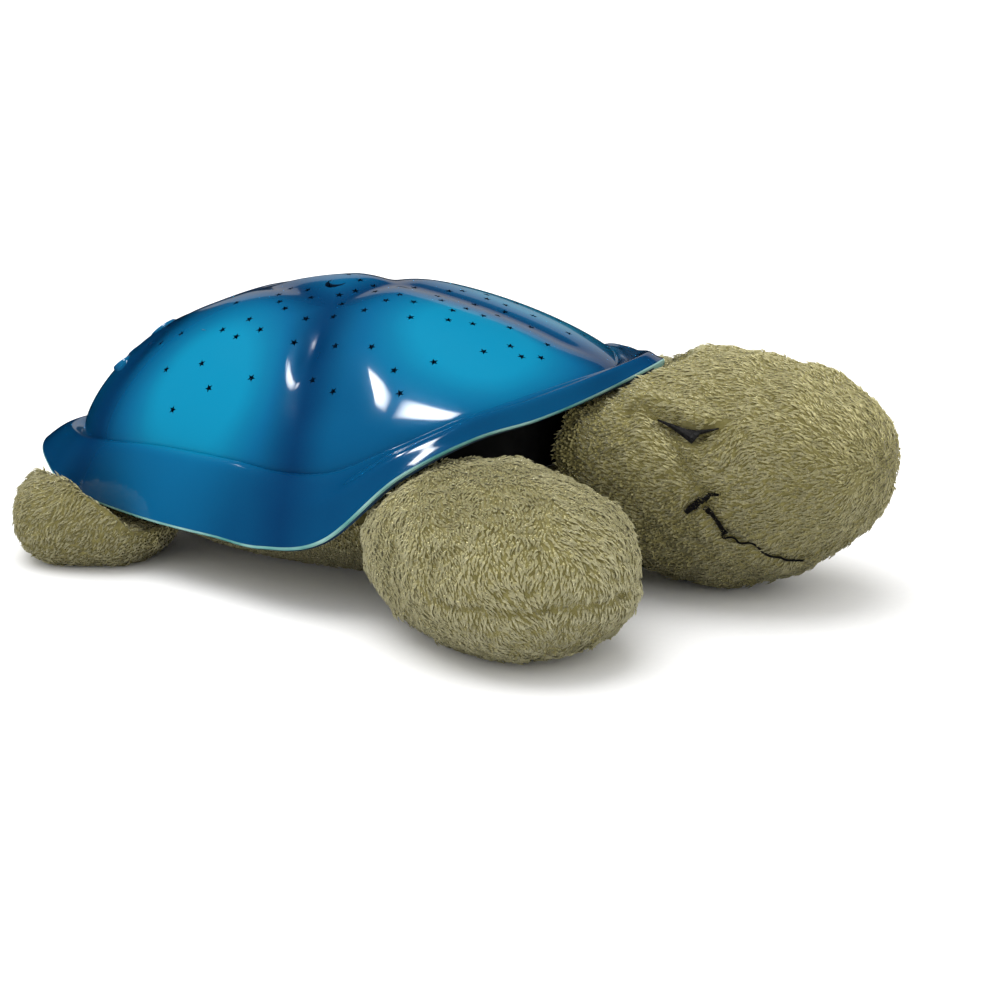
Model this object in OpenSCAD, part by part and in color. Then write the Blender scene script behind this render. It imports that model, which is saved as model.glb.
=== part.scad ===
// Star night light projector: a sleeping plush turtle under a hard shell pierced with stars.
// Millimetres, +X to the head, +Y to the turtle's left, +Z up, standing on z = 0.
// The origin is on the floor in the middle between the nose and the tail lip.

/* [Shell] */
// Length of the shell from the visor tip over the head to the tail lip
shell_len = 288; // [284:1:294]
// Width of the shell over its two low side lobes
shell_wid = 218; // [214:1:224]
// Height of the dome's crown above the floor, before the valleys are pressed into it
shell_top = 114.5; // [112:0.5:118]
// Wall thickness of the moulding
shell_wall = 2.5; // [2:0.1:3]
// Depth of the valleys between the scutes low on the flanks
valley_depth = 7.5; // [4:0.5:9]
// Reach of a valley's slope to each side near the crown
valley_reach = 8; // [6:0.5:10]
// Further reach of a valley's slope low on the flanks
valley_spread = 11; // [6:0.5:14]
// Depth of the dimple in the middle of each flank
dimple_depth = 2.6; // [0:0.2:4]
// Height of the rolled bead between the dome and the rim
bead_h = 3; // [1:0.5:4]

/* [Stars and moon] */
// Width of a star hole from tip to tip
star_w = 4.6; // [3.6:0.2:5.6]
// Width of the crescent moon
moon_w = 9; // [7:0.5:11]

/* [Plush] */
// Length of the head from nose to neck
head_len = 144; // [138:1:150]
// Width of the head over its cheeks
head_wid = 108; // [104:1:114]
// Height of the head
head_h = 95; // [92:1:98]
// Height of the nose above the floor
nose_z = 55; // [50:1:58]
// Share by which the head narrows towards its chin
chin_taper = 0.22; // [0:0.02:0.4]
// Length of a front flipper
front_len = 130; // [124:1:134]
// Width of a front flipper
front_wid = 90; // [84:1:94]
// Height of a front flipper
front_h = 66; // [60:1:70]
// Length of a rear flipper
rear_len = 70; // [64:1:76]
// Width of a rear flipper
rear_wid = 68; // [62:1:72]
// Height of a rear flipper
rear_h = 40; // [36:1:44]
// Length of the torso cushion
torso_len = 210; // [204:1:214]
// Width of the torso cushion
torso_wid = 176; // [170:1:180]
// Height of the torso cushion
torso_h = 46; // [40:1:50]
// Thickness of the belly fabric
belly_t = 2.5; // [2:0.1:3]
// Room between soft parts and what they touch
soft_gap = 0.4; // [0.3:0.1:0.8]

/* [Base] */
// Length of the base tray
tray_len = 184; // [180:1:190]
// Width of the base tray
tray_wid = 132; // [128:1:138]
// Thickness of the tray's floor
tray_floor = 3; // [2.5:0.1:3.5]
// Thickness of the tray's walls
tray_wall = 2.2; // [1.8:0.1:2.6]
// Height of the tray's rim above its floor
tray_rim = 14; // [10:1:20]
// Height of the posts that carry the shell
post_top = 46; // [42:1:50]

/* [Batteries] */
// Diameter of a cell
cell_d = 10.5; // [10:0.1:11]
// Length of a cell with its nub
cell_l = 44.5; // [43:0.1:45]
// Number of cells side by side
cell_n = 3; // [2:1:3]
// Length of a contact spring as it is pressed by its cell
spring_l = 4.5; // [4:0.1:6]

/* [Buttons] */
// Diameter of a colour button
button_d = 10; // [8:0.5:11]
// Diameter of the power button
power_d = 13; // [11:0.5:14]
// Height of the caps above the shell
button_proud = 1.2; // [0.8:0.2:2]
// Travel of a button
button_travel = 0.8; // [0.5:0.1:0.9]
// Tilt of the buttons from upright, towards the tail
button_tilt = 39; // [37:1:43]

/* [Light and boards] */
// Height of the lamp board above the tray's floor
lamp_h = 18; // [14:1:30]
// Diameter of a lamp's body
lamp_d = 5; // [3:0.5:5]
// Thickness of the circuit boards
board_t = 1.6; // [1.2:0.1:2]
// Diameter of a wire over its insulation
wire_d = 1.6; // [1.2:0.1:2]

/* [Hidden] */
$fn = 32;

// Colours
BLUE_SHELL = "#1580b4";
OLIVE = "#9a9673";
DARK_PLASTIC = "#2b2e33";
BOARD_GREEN = "#2f6b45";
STEEL = "#c3c6c9";
BLACK = "#1c1c1e";

// Shell stations from the head (0 degrees) round to the tail (180 degrees), every 15 degrees:
// radius and height of the crease round the dome, then of the rim
CREASE_R = [107, 103, 101, 99, 96, 91, 85, 83, 86, 95, 109, 125, 136];
CREASE_Z = [84, 83, 80, 74, 64, 53, 50, 51, 51, 50, 46, 41, 38];
RIM_R = [129, 117, 113, 114, 118, 113, 105, 99, 102, 110, 123, 142, 159];
RIM_Z = [89, 80, 74, 70, 58, 31, 24, 23, 23, 23, 23, 25, 30];
// Middles of the scutes and how much each gives way to its neighbours
SCUTES = [[-14, 0, 1950], [46, 40, 0], [46, -40, 0], [-49, 57, 0], [-49, -57, 0], [-167, 0, -2262]];
// Grid of the shell: spokes, rings on the dome and rings on the skirt
SPOKES = 72;
DOME_RINGS = 14;
SKIRT_RINGS = 5;
RIM_LAST = 2;
STEP_A = 1;
STEP_W = 0.01;

// Plan scales of the stations
len_scale = shell_len / (RIM_R[0] + RIM_R[len(RIM_R) - 1]);
wid_scale = shell_wid / (2 * max([for (a = [0:3:180]) along(RIM_R, a) * sin(a)]));
visor_x = RIM_R[0] * len_scale;
tail_x = -RIM_R[len(RIM_R) - 1] * len_scale;

// Heights from the underside of the battery bay up to the top of the tray's floor
cell_gap = 0.3;
bay_wall = 1.8;
door_seat = 3;
tray_z = belly_t + soft_gap;
seat_z = tray_z + door_seat;
cell_z = seat_z + cell_d / 2;
bay_roof_z = cell_z + cell_d / 2 + cell_gap;
floor_z = bay_roof_z + bay_wall;
under_tray_z = floor_z - tray_floor;

// The middle of the part between the nose and the tail lip is put over the origin
HEAD_AT = [visor_x + 25, 0, nose_z];
mid_x = (HEAD_AT.x + head_len / 2 + tail_x) / 2;
module made_of(tint) {
  color(tint) translate([-mid_x, 0, 0]) children();
}

// ---------- shell surface ----------

// Catmull-Rom curve through a list of stations, the same to both sides
function fold(a) = let(b = ((a % 360) + 360) % 360) b > 180 ? 360 - b : b;
function along(list, a) =
  let(n = len(list) - 1, q = fold(a) / 180 * n, i = min(floor(q), n - 1), t = q - i,
      p0 = list[abs(i - 1)], p1 = list[i], p2 = list[i + 1],
      p3 = list[i + 2 > n ? 2 * n - i - 2 : i + 2])
  p1 + t * (p2 - p0 + t * (2 * p0 - 5 * p1 + 4 * p2 - p3 + t * (3 * p1 - p0 - 3 * p2 + p3))) / 2;

// Distance in plan from a point to the nearest border between two scutes
function scute_pull(q, s) = (q.x - s.x) ^ 2 + (q.y - s.y) ^ 2 + s.z;
function border_gap(q) =
  let(pull = [for (s = SCUTES) scute_pull(q, s)], least = min(pull),
      k = [for (i = [0:len(SCUTES) - 1]) if (pull[i] == least) i][0], own = SCUTES[k])
  min([for (i = [0:len(SCUTES) - 1]) if (i != k)
    (pull[i] - least) / (2 * norm([SCUTES[i].x - own.x, SCUTES[i].y - own.y]))]);

// Ease from 0 to 1
function ease(t) = let(c = max(0, min(1, t))) c * c * (3 - 2 * c);

// Valleys spread and deepen down the flanks, and run out towards the crease and round the buttons
VALLEY_BED = 3;
VALLEY_END = 0.22;
FLANK_Y = [30, 85];
CROWN_SHARE = 0.5;
BUTTON_PAD = 20;
DIMPLE_AT = [-4, 50];
DIMPLE_REACH = [4.5, 9];
function dimple(q) =
  let(off = [(q.x - DIMPLE_AT.x) / DIMPLE_REACH.x, (abs(q.y) - DIMPLE_AT.y) / DIMPLE_REACH.y])
  dimple_depth * exp(-off * off);
function valley(q, w) =
  let(flank = ease((abs(q.y) - FLANK_Y[0]) / (FLANK_Y[1] - FLANK_Y[0])),
      reach = valley_reach + valley_spread * flank,
      share = CROWN_SHARE + (1 - CROWN_SHARE) * flank,
      depth = valley_depth * share * exp(-norm([border_gap(q), VALLEY_BED]) / reach),
      pad = norm([q.x - button_x / len_scale, q.y]))
  (depth + dimple(q)) * ease((1 - w) / VALLEY_END) * (1 - exp(-pad ^ 2 / (2 * BUTTON_PAD ^ 2)));

// Point on the outer face: w is 0 at the crown, 1 at the crease and 2 at the rim
function reach(a, w) =
  w <= 1 ? along(CREASE_R, a) * w
         : along(CREASE_R, a) + (along(RIM_R, a) - along(CREASE_R, a)) * (w - 1);
// Roundness of the crown and of the shoulder below it, with their change towards the head
CROWN = [1.85, -0.15];
SHOULDER = [0.76, 0.1];
function dome_z(a, w, q) =
  let(zc = along(CREASE_Z, a), crown = CROWN[0] + CROWN[1] * cos(a),
      shoulder = SHOULDER[0] + SHOULDER[1] * cos(a))
  zc + (shell_top - zc) * (1 - w ^ crown) ^ shoulder - valley(q, w);
function skirt_z(a, s) =
  let(zc = along(CREASE_Z, a))
  zc + (along(RIM_Z, a) - zc) * s ^ 1.4 + bead_h * sin(180 * s ^ 0.8);
function outer_pt(a, w) =
  let(r = reach(a, w), q = [r * cos(a), r * sin(a)])
  [q.x * len_scale, q.y * wid_scale, w <= 1 ? dome_z(a, w, q) : skirt_z(a, w - 1)];
function shell_normal(a, w) =
  let(da = outer_pt(a + STEP_A, w) - outer_pt(a - STEP_A, w),
      dw = outer_pt(a, min(w + STEP_W, RIM_LAST)) - outer_pt(a, w - STEP_W), n = cross(dw, da))
  n / norm(n);
function inner_pt(a, w) = outer_pt(a, w) - shell_wall * shell_normal(a, w);

// Station (angle, w) and height of the outer face over a plan position
function station(x, y) =
  let(q = [x / len_scale, y / wid_scale], a = atan2(q.y, q.x), r = norm(q), rc = along(CREASE_R, a))
  [a, r <= rc ? r / rc : min(RIM_LAST, 1 + (r - rc) / (along(RIM_R, a) - rc))];
function shell_z(x, y) = let(s = station(x, y)) outer_pt(s[0], s[1]).z;

ring_ws = [for (i = [1:DOME_RINGS]) sin(90 * i / DOME_RINGS),
           for (i = [1:SKIRT_RINGS]) 1 + i / SKIRT_RINGS];

module shell_wall_body() {
  rings = len(ring_ws);
  outer = [for (w = ring_ws) for (k = [0:SPOKES - 1]) outer_pt(360 * k / SPOKES, w)];
  inner = [for (w = ring_ws) for (k = [0:SPOKES - 1]) inner_pt(360 * k / SPOKES, w)];
  half = rings * SPOKES;
  function at(ring, k) = ring * SPOKES + k % SPOKES;
  polyhedron(
    concat(outer, inner, [[0, 0, shell_top - valley([0, 0], 0)],
                          [0, 0, shell_top - valley([0, 0], 0) - shell_wall]]),
    concat(
      [for (r = [0:rings - 2]) for (k = [0:SPOKES - 1]) each
        [[at(r, k), at(r + 1, k + 1), at(r + 1, k)], [at(r, k), at(r, k + 1), at(r + 1, k + 1)]]],
      [for (r = [0:rings - 2]) for (k = [0:SPOKES - 1]) each
        [[half + at(r, k), half + at(r + 1, k), half + at(r + 1, k + 1)],
         [half + at(r, k), half + at(r + 1, k + 1), half + at(r, k + 1)]]],
      [for (k = [0:SPOKES - 1]) each
        [[at(rings - 1, k), half + at(rings - 1, k + 1), half + at(rings - 1, k)],
         [at(rings - 1, k), at(rings - 1, k + 1), half + at(rings - 1, k + 1)]]],
      [for (k = [0:SPOKES - 1]) [2 * half, at(0, k + 1), at(0, k)]],
      [for (k = [0:SPOKES - 1]) [2 * half + 1, half + at(0, k), half + at(0, k + 1)]]),
    convexity = 6);
}

// Puts its children on the shell over a plan position, square to the surface
module on_shell(p) {
  s = station(p.x, p.y);
  n = norm(p) < 1 ? [0, 0, 1] : shell_normal(s[0], s[1]);
  translate([p.x, p.y, shell_z(p.x, p.y)])
    rotate([0, acos(n.z), atan2(n.y, n.x)])
      children();
}

// ---------- stars and moon ----------

// Star places in plan: on the right half, each with its twin on the left, and along the middle
STARS = [
  [86, -24], [84, -12], [80, -30], [74, -27], [68, -13], [67, -38], [59, -4], [56, -12], [56, -23],
  [52, -53], [48, -11], [47, -27], [45, -18], [44, -68], [38, -60], [37, -11], [33, -6], [33, -33],
  [29, -21], [24, -51], [21, -17], [18, -24], [14, -66], [12, -32], [9, -15], [7, -49], [5, -8],
  [2, -60], [0, -15], [-1, -26], [-1, -34], [-2, -6], [-5, -20], [-12, -37], [-12, -48], [-17, -22],
  [-22, -15], [-24, -32], [-25, -61], [-29, -27], [-30, -43], [-32, -11], [-33, -20], [-38, -37],
  [-40, -45], [-44, -62], [-49, -40], [-52, -22], [-52, -53], [-60, -64], [-71, -7], [-71, -49],
  [-73, -32], [-78, -7], [-84, -30], [-92, -10]
];
MIDDLE_STARS = [[72, 0], [47, 0], [20, 0], [-10, 0], [-30, 0]];
STAR_POINTS = 5;
STAR_WAIST = 0.42;
CUT_DEPTH = 2.2;
MOON_AT = [-11, -11];
STAR_TURN = 13;
MOON_HOLLOW = [0.22, 0.86];

module star_outline() {
  polygon([for (i = [0:2 * STAR_POINTS - 1])
    let(r = star_w / 2 * (i % 2 == 0 ? 1 : STAR_WAIST), a = 180 * i / STAR_POINTS)
    [r * cos(a), r * sin(a)]]);
}
module moon_outline() {
  difference() {
    circle(d = moon_w);
    translate([moon_w * MOON_HOLLOW[0], 0]) circle(d = moon_w * MOON_HOLLOW[1]);
  }
}
module star_cuts() {
  for (p = concat(STARS, [for (p = STARS) [p.x, -p.y]], MIDDLE_STARS))
    on_shell([p.x * len_scale, p.y * wid_scale])
      linear_extrude(shell_wall * CUT_DEPTH * 2, center = true)
        rotate(STAR_TURN * (p.x + abs(p.y))) star_outline();
  on_shell([MOON_AT.x * len_scale, MOON_AT.y * wid_scale])
    linear_extrude(shell_wall * CUT_DEPTH * 2, center = true) moon_outline();
}

// ---------- buttons ----------

button_x = -107 * len_scale;
// Places of the buttons on the tilted plane: up the slope and across
POWER_AT = [9, 0];
AMBER_AT = [-8, 16];
GREEN_AT = [-8, 0];
BLUE_AT = [-8, -16];
BUTTONS = [[POWER_AT, power_d], [AMBER_AT, button_d], [GREEN_AT, button_d], [BLUE_AT, button_d]];
BOSS_AT = [[10, 17], [10, -17]];
boss_d = 6;
pilot_d = 2.8;
guide_gap = 0.3;
board_depth = 17;
button_flange_t = 1.2;
button_flange_w = 1.2;
flange_drop = 3.4;
button_edge = 0.7;
stem_d = 3.4;
switch_w = 6;
switch_h = 3.5;
plunger_d = 3.4;
plunger_h = 1;
press_room = button_travel + 0.1;

// Places its children on the button plane, with +Z out of the shell
module button_plane() {
  translate([button_x, 0, shell_z(button_x, 0)]) rotate([0, -button_tilt, 0]) children();
}
function plane_pt(p, s) =
  [button_x + p.x * cos(button_tilt) - s * sin(button_tilt), p.y,
   shell_z(button_x, 0) + p.x * sin(button_tilt) + s * cos(button_tilt)];
// Height of the outer face over the button plane, found by stepping along the button's axis
function plane_skin(p, s = 0, n = 12) =
  n == 0 ? s
         : let(q = plane_pt(p, s))
           plane_skin(p, s - 0.7 * (q.z - shell_z(q.x, q.y)) * cos(button_tilt), n - 1);

module button_bore(b) {
  translate([b[0].x, b[0].y, -board_depth + switch_h])
    cylinder(d = b[1] + 2 * guide_gap, h = 2 * board_depth);
}
module button(b, tint) {
  skin = plane_skin(b[0]);
  top = skin + button_proud;
  flange_top = skin - shell_wall - flange_drop;
  foot = -board_depth + switch_h + plunger_h + press_room;
  stem_r = stem_d / 2;
  cap_r = b[1] / 2;
  flange_r = cap_r + button_flange_w;
  made_of(tint) button_plane() translate([b[0].x, b[0].y, 0]) rotate_extrude()
    polygon([[0, foot], [stem_r, foot], [stem_r, flange_top - button_flange_t],
             [flange_r, flange_top - button_flange_t], [flange_r, flange_top], [cap_r, flange_top],
             [cap_r, top - button_edge], [cap_r - button_edge, top], [0, top]]);
}

// ---------- shell node ----------

// Posts that join the shell to the tray
POST_AT = [58, 34];
POSTS = [for (x = [-1, 1]) for (y = [-1, 1]) [x * POST_AT.x, y * POST_AT.y]];
post_d = 10;
boss_under = 0.5;
shell_boss_d = 7;
shell_screw_d = 2.8;
shell_pilot_depth = 14;
screw_head_d = 6;
screw_head_t = 2.4;
screw_seat_z = post_top - 10;
joint_gap = 0.2;

// Lowest point of the outer face round a boss
function skin_round(p, r) = min([for (a = [0:30:330]) shell_z(p.x + r * cos(a), p.y + r * sin(a))]);

module shell_bosses() {
  for (p = POSTS) {
    top = skin_round(p, shell_boss_d / 2) - boss_under;
    translate([p.x, p.y, post_top + joint_gap]) cylinder(d = shell_boss_d, h = top - post_top - joint_gap);
  }
  button_plane() for (p = BOSS_AT) translate([p.x, p.y, -board_depth])
    cylinder(d = boss_d, h = board_depth + plane_skin(p) - shell_wall / 2);
}
module shell_pilots() {
  for (p = POSTS) translate([p.x, p.y, post_top - 1])
    cylinder(d = pilot_d + 0.2, h = shell_pilot_depth + 1);
  button_plane() for (p = BOSS_AT) translate([p.x, p.y, -board_depth - 1])
    cylinder(d = pilot_d, h = 10);
}
module shell() {
  made_of(BLUE_SHELL) difference() {
    union() {
      shell_wall_body();
      shell_bosses();
    }
    star_cuts();
    button_plane() for (b = BUTTONS) button_bore(b);
    shell_pilots();
  }
}

// ---------- plush ----------

FRONT_AT = [100, 101, 31];
REAR_AT = [-97, 64, 18];
FRONT_YAW = 38;
REAR_YAW = -20;
HEAD_ROUND = 2.15;
HEAD_SINK = 1;
FLIPPER_ROUND = 2.35;
FRONT_TAPER = 0.13;
FLOOR_SINK = 4;
RIM_MARGIN = 4;
RIM_RISE = 1.6;
SHELL_ROOM = 2.2;
SOFT_BEND = 5;
STEEPEST = 0.35;

function signed_pow(v, e) = sign(v) * abs(v) ^ e;
// Point of a pillow: u runs along its length and v round it
function pillow_pt(at, half, yaw, e, taper, u, v) =
  let(k = 2 / e, b = signed_pow(sin(u), k), rise = b * signed_pow(sin(v), k),
      wide = 1 - taper * min(rise, 0) ^ 2, x = half.x * signed_pow(cos(u), k) * wide,
      y = half.y * b * signed_pow(cos(v), k) * wide, z = rise * (rise > 0 ? half[2] : half[3]))
  [at.x + x * cos(yaw) - y * sin(yaw), at.y + x * sin(yaw) + y * cos(yaw), at.z + z];

// A cushion gives way to the torso, to the shell above it and to the floor
function clear_of_torso(p) =
  let(share = lookup(min(p.z / torso_h, WIDEST), [[0, 0], for (t = TORSO_SIDE) [t[1], t[0]]]),
      need = torso_reach(atan2(p.y, p.x), share) + 2 * soft_gap, r = norm([p.x, p.y]))
  r >= need ? p : [p.x * need / max(r, 1), p.y * need / max(r, 1), p.z];
function room_below_shell(p) =
  let(a = station(p.x, p.y)[0], past = norm([p.x / len_scale, p.y / wid_scale]) - along(RIM_R, a))
  min(along(RIM_Z, a), along(CREASE_Z, a)) - shell_wall - SHELL_ROOM * soft_gap
  + RIM_RISE * max(0, past - RIM_MARGIN);
// The lesser of two heights, with a smooth bend from one to the other
function soft_least(a, b) = min(a, b) - max(0, SOFT_BEND - abs(a - b)) ^ 2 / (4 * SOFT_BEND);
function below_shell(p) = [p.x, p.y, max(0, soft_least(p.z, room_below_shell(p)))];
function pressed(p) = below_shell(clear_of_torso(below_shell(p)));

// Half sizes are along, across, up and down
module pillow(at, half, yaw, e, taper, rings, sides) {
  function skin(u, v) = pressed(pillow_pt(at, half, yaw, e, taper, u, v));
  body = [for (i = [1:rings]) for (k = [0:sides - 1]) skin(180 * i / (rings + 1), 360 * k / sides)];
  ends = [skin(0, 0), skin(180, 0)];
  last = rings * sides;
  function at_k(i, k) = i * sides + k % sides;
  polyhedron(
    concat(body, ends),
    concat(
      [for (i = [0:rings - 2]) for (k = [0:sides - 1]) each
        [[at_k(i, k), at_k(i + 1, k + 1), at_k(i + 1, k)],
         [at_k(i, k), at_k(i, k + 1), at_k(i + 1, k + 1)]]],
      [for (k = [0:sides - 1]) [last, at_k(0, k + 1), at_k(0, k)]],
      [for (k = [0:sides - 1]) [last + 1, at_k(rings - 1, k), at_k(rings - 1, k + 1)]]),
    convexity = 4);
}
module head_plush() {
  made_of(OLIVE) pillow(HEAD_AT, [head_len / 2, head_wid / 2, head_h - nose_z, nose_z + HEAD_SINK],
                        0, HEAD_ROUND, chin_taper, 17, 36);
}
module front_flipper(side) {
  half_h = (front_h + FLOOR_SINK) / 2;
  made_of(OLIVE) pillow([FRONT_AT.x, FRONT_AT.y * side, FRONT_AT.z],
                        [front_len / 2, front_wid / 2, half_h, half_h],
                        FRONT_YAW * side, FLIPPER_ROUND, FRONT_TAPER, 15, 32);
}
module rear_flipper(side) {
  half_h = (rear_h + FLOOR_SINK) / 2;
  made_of(OLIVE) pillow([REAR_AT.x, REAR_AT.y * side, REAR_AT.z],
                        [rear_len / 2, rear_wid / 2, half_h, half_h],
                        REAR_YAW * side, FLIPPER_ROUND, 0, 13, 28);
}
module front_left_flipper() { front_flipper(1); }
module front_right_flipper() { front_flipper(-1); }
module rear_left_flipper() { rear_flipper(1); }
module rear_right_flipper() { rear_flipper(-1); }

// The torso cushion cradles the tray: its flat foot is narrow and its sides swell out and up
FOOT = [75, 36];
FOOT_FLARE = 8;
FOOT_ROUND = 0.8;
BAY_CLEAR = [45, 24.5];
BAY_CLEAR_X = -20;
BAY_CLEAR_ROUND = 0.5;
// Outer side of the cushion: share of the way from the foot to the widest line, share of height
TORSO_SIDE = [[0.3, 0.07], [0.62, 0.24], [0.87, 0.46], [1, 0.7], [0.9, 0.88], [0.6, 0.98]];
WIDEST = 0.7;
FOOT_LIP = 0.3;
TORSO_SPOKES = 60;
function foot_pt(a) =
  [FOOT.x * signed_pow(cos(a), FOOT_ROUND), (FOOT.y + FOOT_FLARE * cos(a)) * signed_pow(sin(a), FOOT_ROUND)];
// Outline of the cushion at a share of the way from its foot to its widest line, by spoke
function torso_outline(a, share) =
  let(foot = foot_pt(a), edge = foot + FOOT_LIP * foot / norm(foot))
  edge + ([torso_len / 2 * cos(a), torso_wid / 2 * sin(a)] - edge) * share;
// The same as a radius in a given direction, found by turning the spoke towards it
function torso_reach(way, share, a = undef, n = 5) =
  let(spoke = a == undef ? way : a, q = torso_outline(spoke, share), off = way - atan2(q.y, q.x))
  n == 0 ? norm(q) : torso_reach(way, share, spoke + off - 360 * round(off / 360), n - 1);
function bay_clear_pt(a) =
  [BAY_CLEAR_X + BAY_CLEAR.x * signed_pow(cos(a), BAY_CLEAR_ROUND),
   BAY_CLEAR.y * signed_pow(sin(a), BAY_CLEAR_ROUND)];
module torso_plush() {
  function oval_pt(l, w, a) = [l / 2 * cos(a), w / 2 * sin(a)];
  function lift(p, z) = [p.x, p.y, z];
  function section(a) =
    let(edge = torso_outline(a, 0), bay = bay_clear_pt(a),
        tray = oval_pt(tray_len + 2 * soft_gap, tray_wid + 2 * soft_gap, a))
    concat([lift(bay, tray_z), lift(edge, tray_z), lift(edge, 0)],
           [for (t = TORSO_SIDE) lift(torso_outline(a, t[0]), t[1] * torso_h)],
           [lift(tray, torso_h), lift(tray, under_tray_z - soft_gap), lift(bay, under_tray_z - soft_gap)]);
  n = len(section(0));
  function at_k(i, k) = (i % TORSO_SPOKES) * n + k % n;
  made_of(OLIVE) polyhedron(
    [for (i = [0:TORSO_SPOKES - 1]) each section(360 * i / TORSO_SPOKES)],
    [for (i = [0:TORSO_SPOKES - 1]) for (k = [0:n - 1]) each
      [[at_k(i, k), at_k(i, k + 1), at_k(i + 1, k + 1)],
       [at_k(i, k), at_k(i + 1, k + 1), at_k(i + 1, k)]]],
    convexity = 6);
}

// ---------- belly ----------

OVAL_POINTS = 72;
module oval(l, w) {
  polygon([for (i = [0:OVAL_POINTS - 1]) let(a = 360 * i / OVAL_POINTS)
    [l / 2 * cos(a), w / 2 * sin(a)]]);
}
module round_rect(x0, x1, w, r) {
  translate([x0 + r, -w / 2 + r]) square([x1 - x0 - 2 * r, w - 2 * r]);
  translate([x0, -w / 2 + r]) square([x1 - x0, w - 2 * r]);
  translate([x0 + r, -w / 2]) square([x1 - x0 - 2 * r, w]);
  for (x = [x0 + r, x1 - r]) for (y = [-w / 2 + r, w / 2 - r]) translate([x, y]) circle(r);
}

flap_hinge_x = 18;
flap_t = 1.6;
flap_z = 0.4;
flap_len = 82;
flap_w = 44;
flap_round = 14;
flap_gap = 0.4;
flap_free_x = flap_hinge_x - flap_len;
strip_len = 8;
strip_w = 22;
strip_inset = 2;
strip_round = 3;
hook_t = tray_z - flap_z - flap_t - 0.1;
loop_t = 0.9;

// Outline with round corners at its free end and a straight hinge edge
module flap_outline(extra) {
  hinge_side = flap_hinge_x + extra;
  r = flap_round + extra;
  w = flap_w + 2 * extra;
  translate([flap_free_x - extra + r, -w / 2]) square([hinge_side - flap_free_x + extra - r, w]);
  translate([flap_free_x - extra, -w / 2 + r]) square([r + 1, w - 2 * r]);
  for (side = [-1, 1]) translate([flap_free_x - extra + r, side * (w / 2 - r)]) circle(r);
}
module belly_panel() {
  made_of(OLIVE) linear_extrude(belly_t) difference() {
    polygon([for (i = [0:OVAL_POINTS - 1]) foot_pt(360 * i / OVAL_POINTS)]);
    flap_outline(flap_gap);
    translate([flap_hinge_x - 1, -flap_w / 2 - flap_gap])
      square([1 + flap_t / 2 + flap_gap, flap_w + 2 * flap_gap]);
  }
}
module belly_flap() {
  made_of(OLIVE) {
    translate([0, 0, flap_z]) linear_extrude(flap_t) flap_outline(0);
    translate([flap_hinge_x, 0, flap_z + flap_t / 2]) rotate([90, 0, 0])
      cylinder(d = flap_t, h = flap_w, center = true);
  }
}
module hook_strip() {
  made_of(DARK_PLASTIC) translate([0, 0, flap_z + flap_t]) linear_extrude(hook_t)
    round_rect(flap_free_x + strip_inset, flap_free_x + strip_inset + strip_len, strip_w, strip_round);
}
module loop_strip() {
  made_of(DARK_PLASTIC) translate([0, 0, tray_z]) linear_extrude(loop_t)
    round_rect(flap_free_x + strip_inset, flap_free_x + strip_inset + strip_len, strip_w, strip_round);
}

// ---------- battery bay ----------

plate_t = 0.5;
cell_pitch = cell_d + 0.7;
bay_x = -25;
bay_l = cell_l + spring_l + 2 * plate_t + cell_gap;
bay_w = cell_n * cell_pitch + cell_gap;
door_t = 2.4;
door_ledge = 2;
door_gap = 0.3;
door_z = seat_z - door_gap - door_t;
door_tab = 11;
door_back_x = bay_x - bay_l / 2 - door_ledge + door_gap;
door_front_x = bay_x + bay_l / 2 + door_tab;
door_w = bay_w + 2 * door_ledge - 2 * door_gap;
door_round = 2;
door_travel = 12;
door_screw_d = 2.4;
door_screw_l = 10;
door_screw_x = door_front_x - door_tab / 2 + 0.5;
door_boss_d = 7;
nub_d = 3.8;
nub_l = 1.2;
grip_ribs = 6;
WIRE_SLOT = [6, 8];

module battery_door() {
  made_of(DARK_PLASTIC) difference() {
    translate([0, 0, door_z]) linear_extrude(door_t)
      round_rect(door_back_x, door_front_x, door_w, door_round);
    translate([door_screw_x, 0, door_z - 1]) cylinder(d = door_screw_d + 0.4, h = door_t + 2);
    translate([door_screw_x, 0, door_z - 1]) cylinder(d = screw_head_d, h = 2.4);
    for (k = [0:grip_ribs - 1]) translate([bay_x + 3 * (k - grip_ribs / 2), -door_w / 4, door_z - 1])
      cube([1.2, door_w / 2, 1.6]);
  }
}
module door_screw() {
  made_of(STEEL) translate([door_screw_x, 0, door_z]) difference() {
    union() {
      translate([0, 0, 0.2]) cylinder(d = screw_head_d - 0.8, h = 1.2);
      cylinder(d = door_screw_d, h = door_screw_l);
    }
    for (a = [0, 90]) rotate(a) translate([-1.5, -0.3, -1]) cube([3, 0.6, 1.8]);
  }
}

function cell_y(i) = (i - (cell_n - 1) / 2) * cell_pitch;
function cell_side(i) = i % 2 == 0 ? 1 : -1;
// Places its children at each cell, turned about from one cell to the next
module at_cells() {
  for (i = [0:cell_n - 1]) translate([bay_x, cell_y(i), cell_z]) rotate(cell_side(i) > 0 ? 0 : 180) children();
}
cell_start = -bay_l / 2 + plate_t + spring_l;
module batteries() {
  made_of("#b8862b") at_cells() translate([cell_start, 0, 0]) rotate([0, 90, 0]) {
    cylinder(d = cell_d, h = cell_l - nub_l);
    cylinder(d = nub_d, h = cell_l);
  }
}
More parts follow.
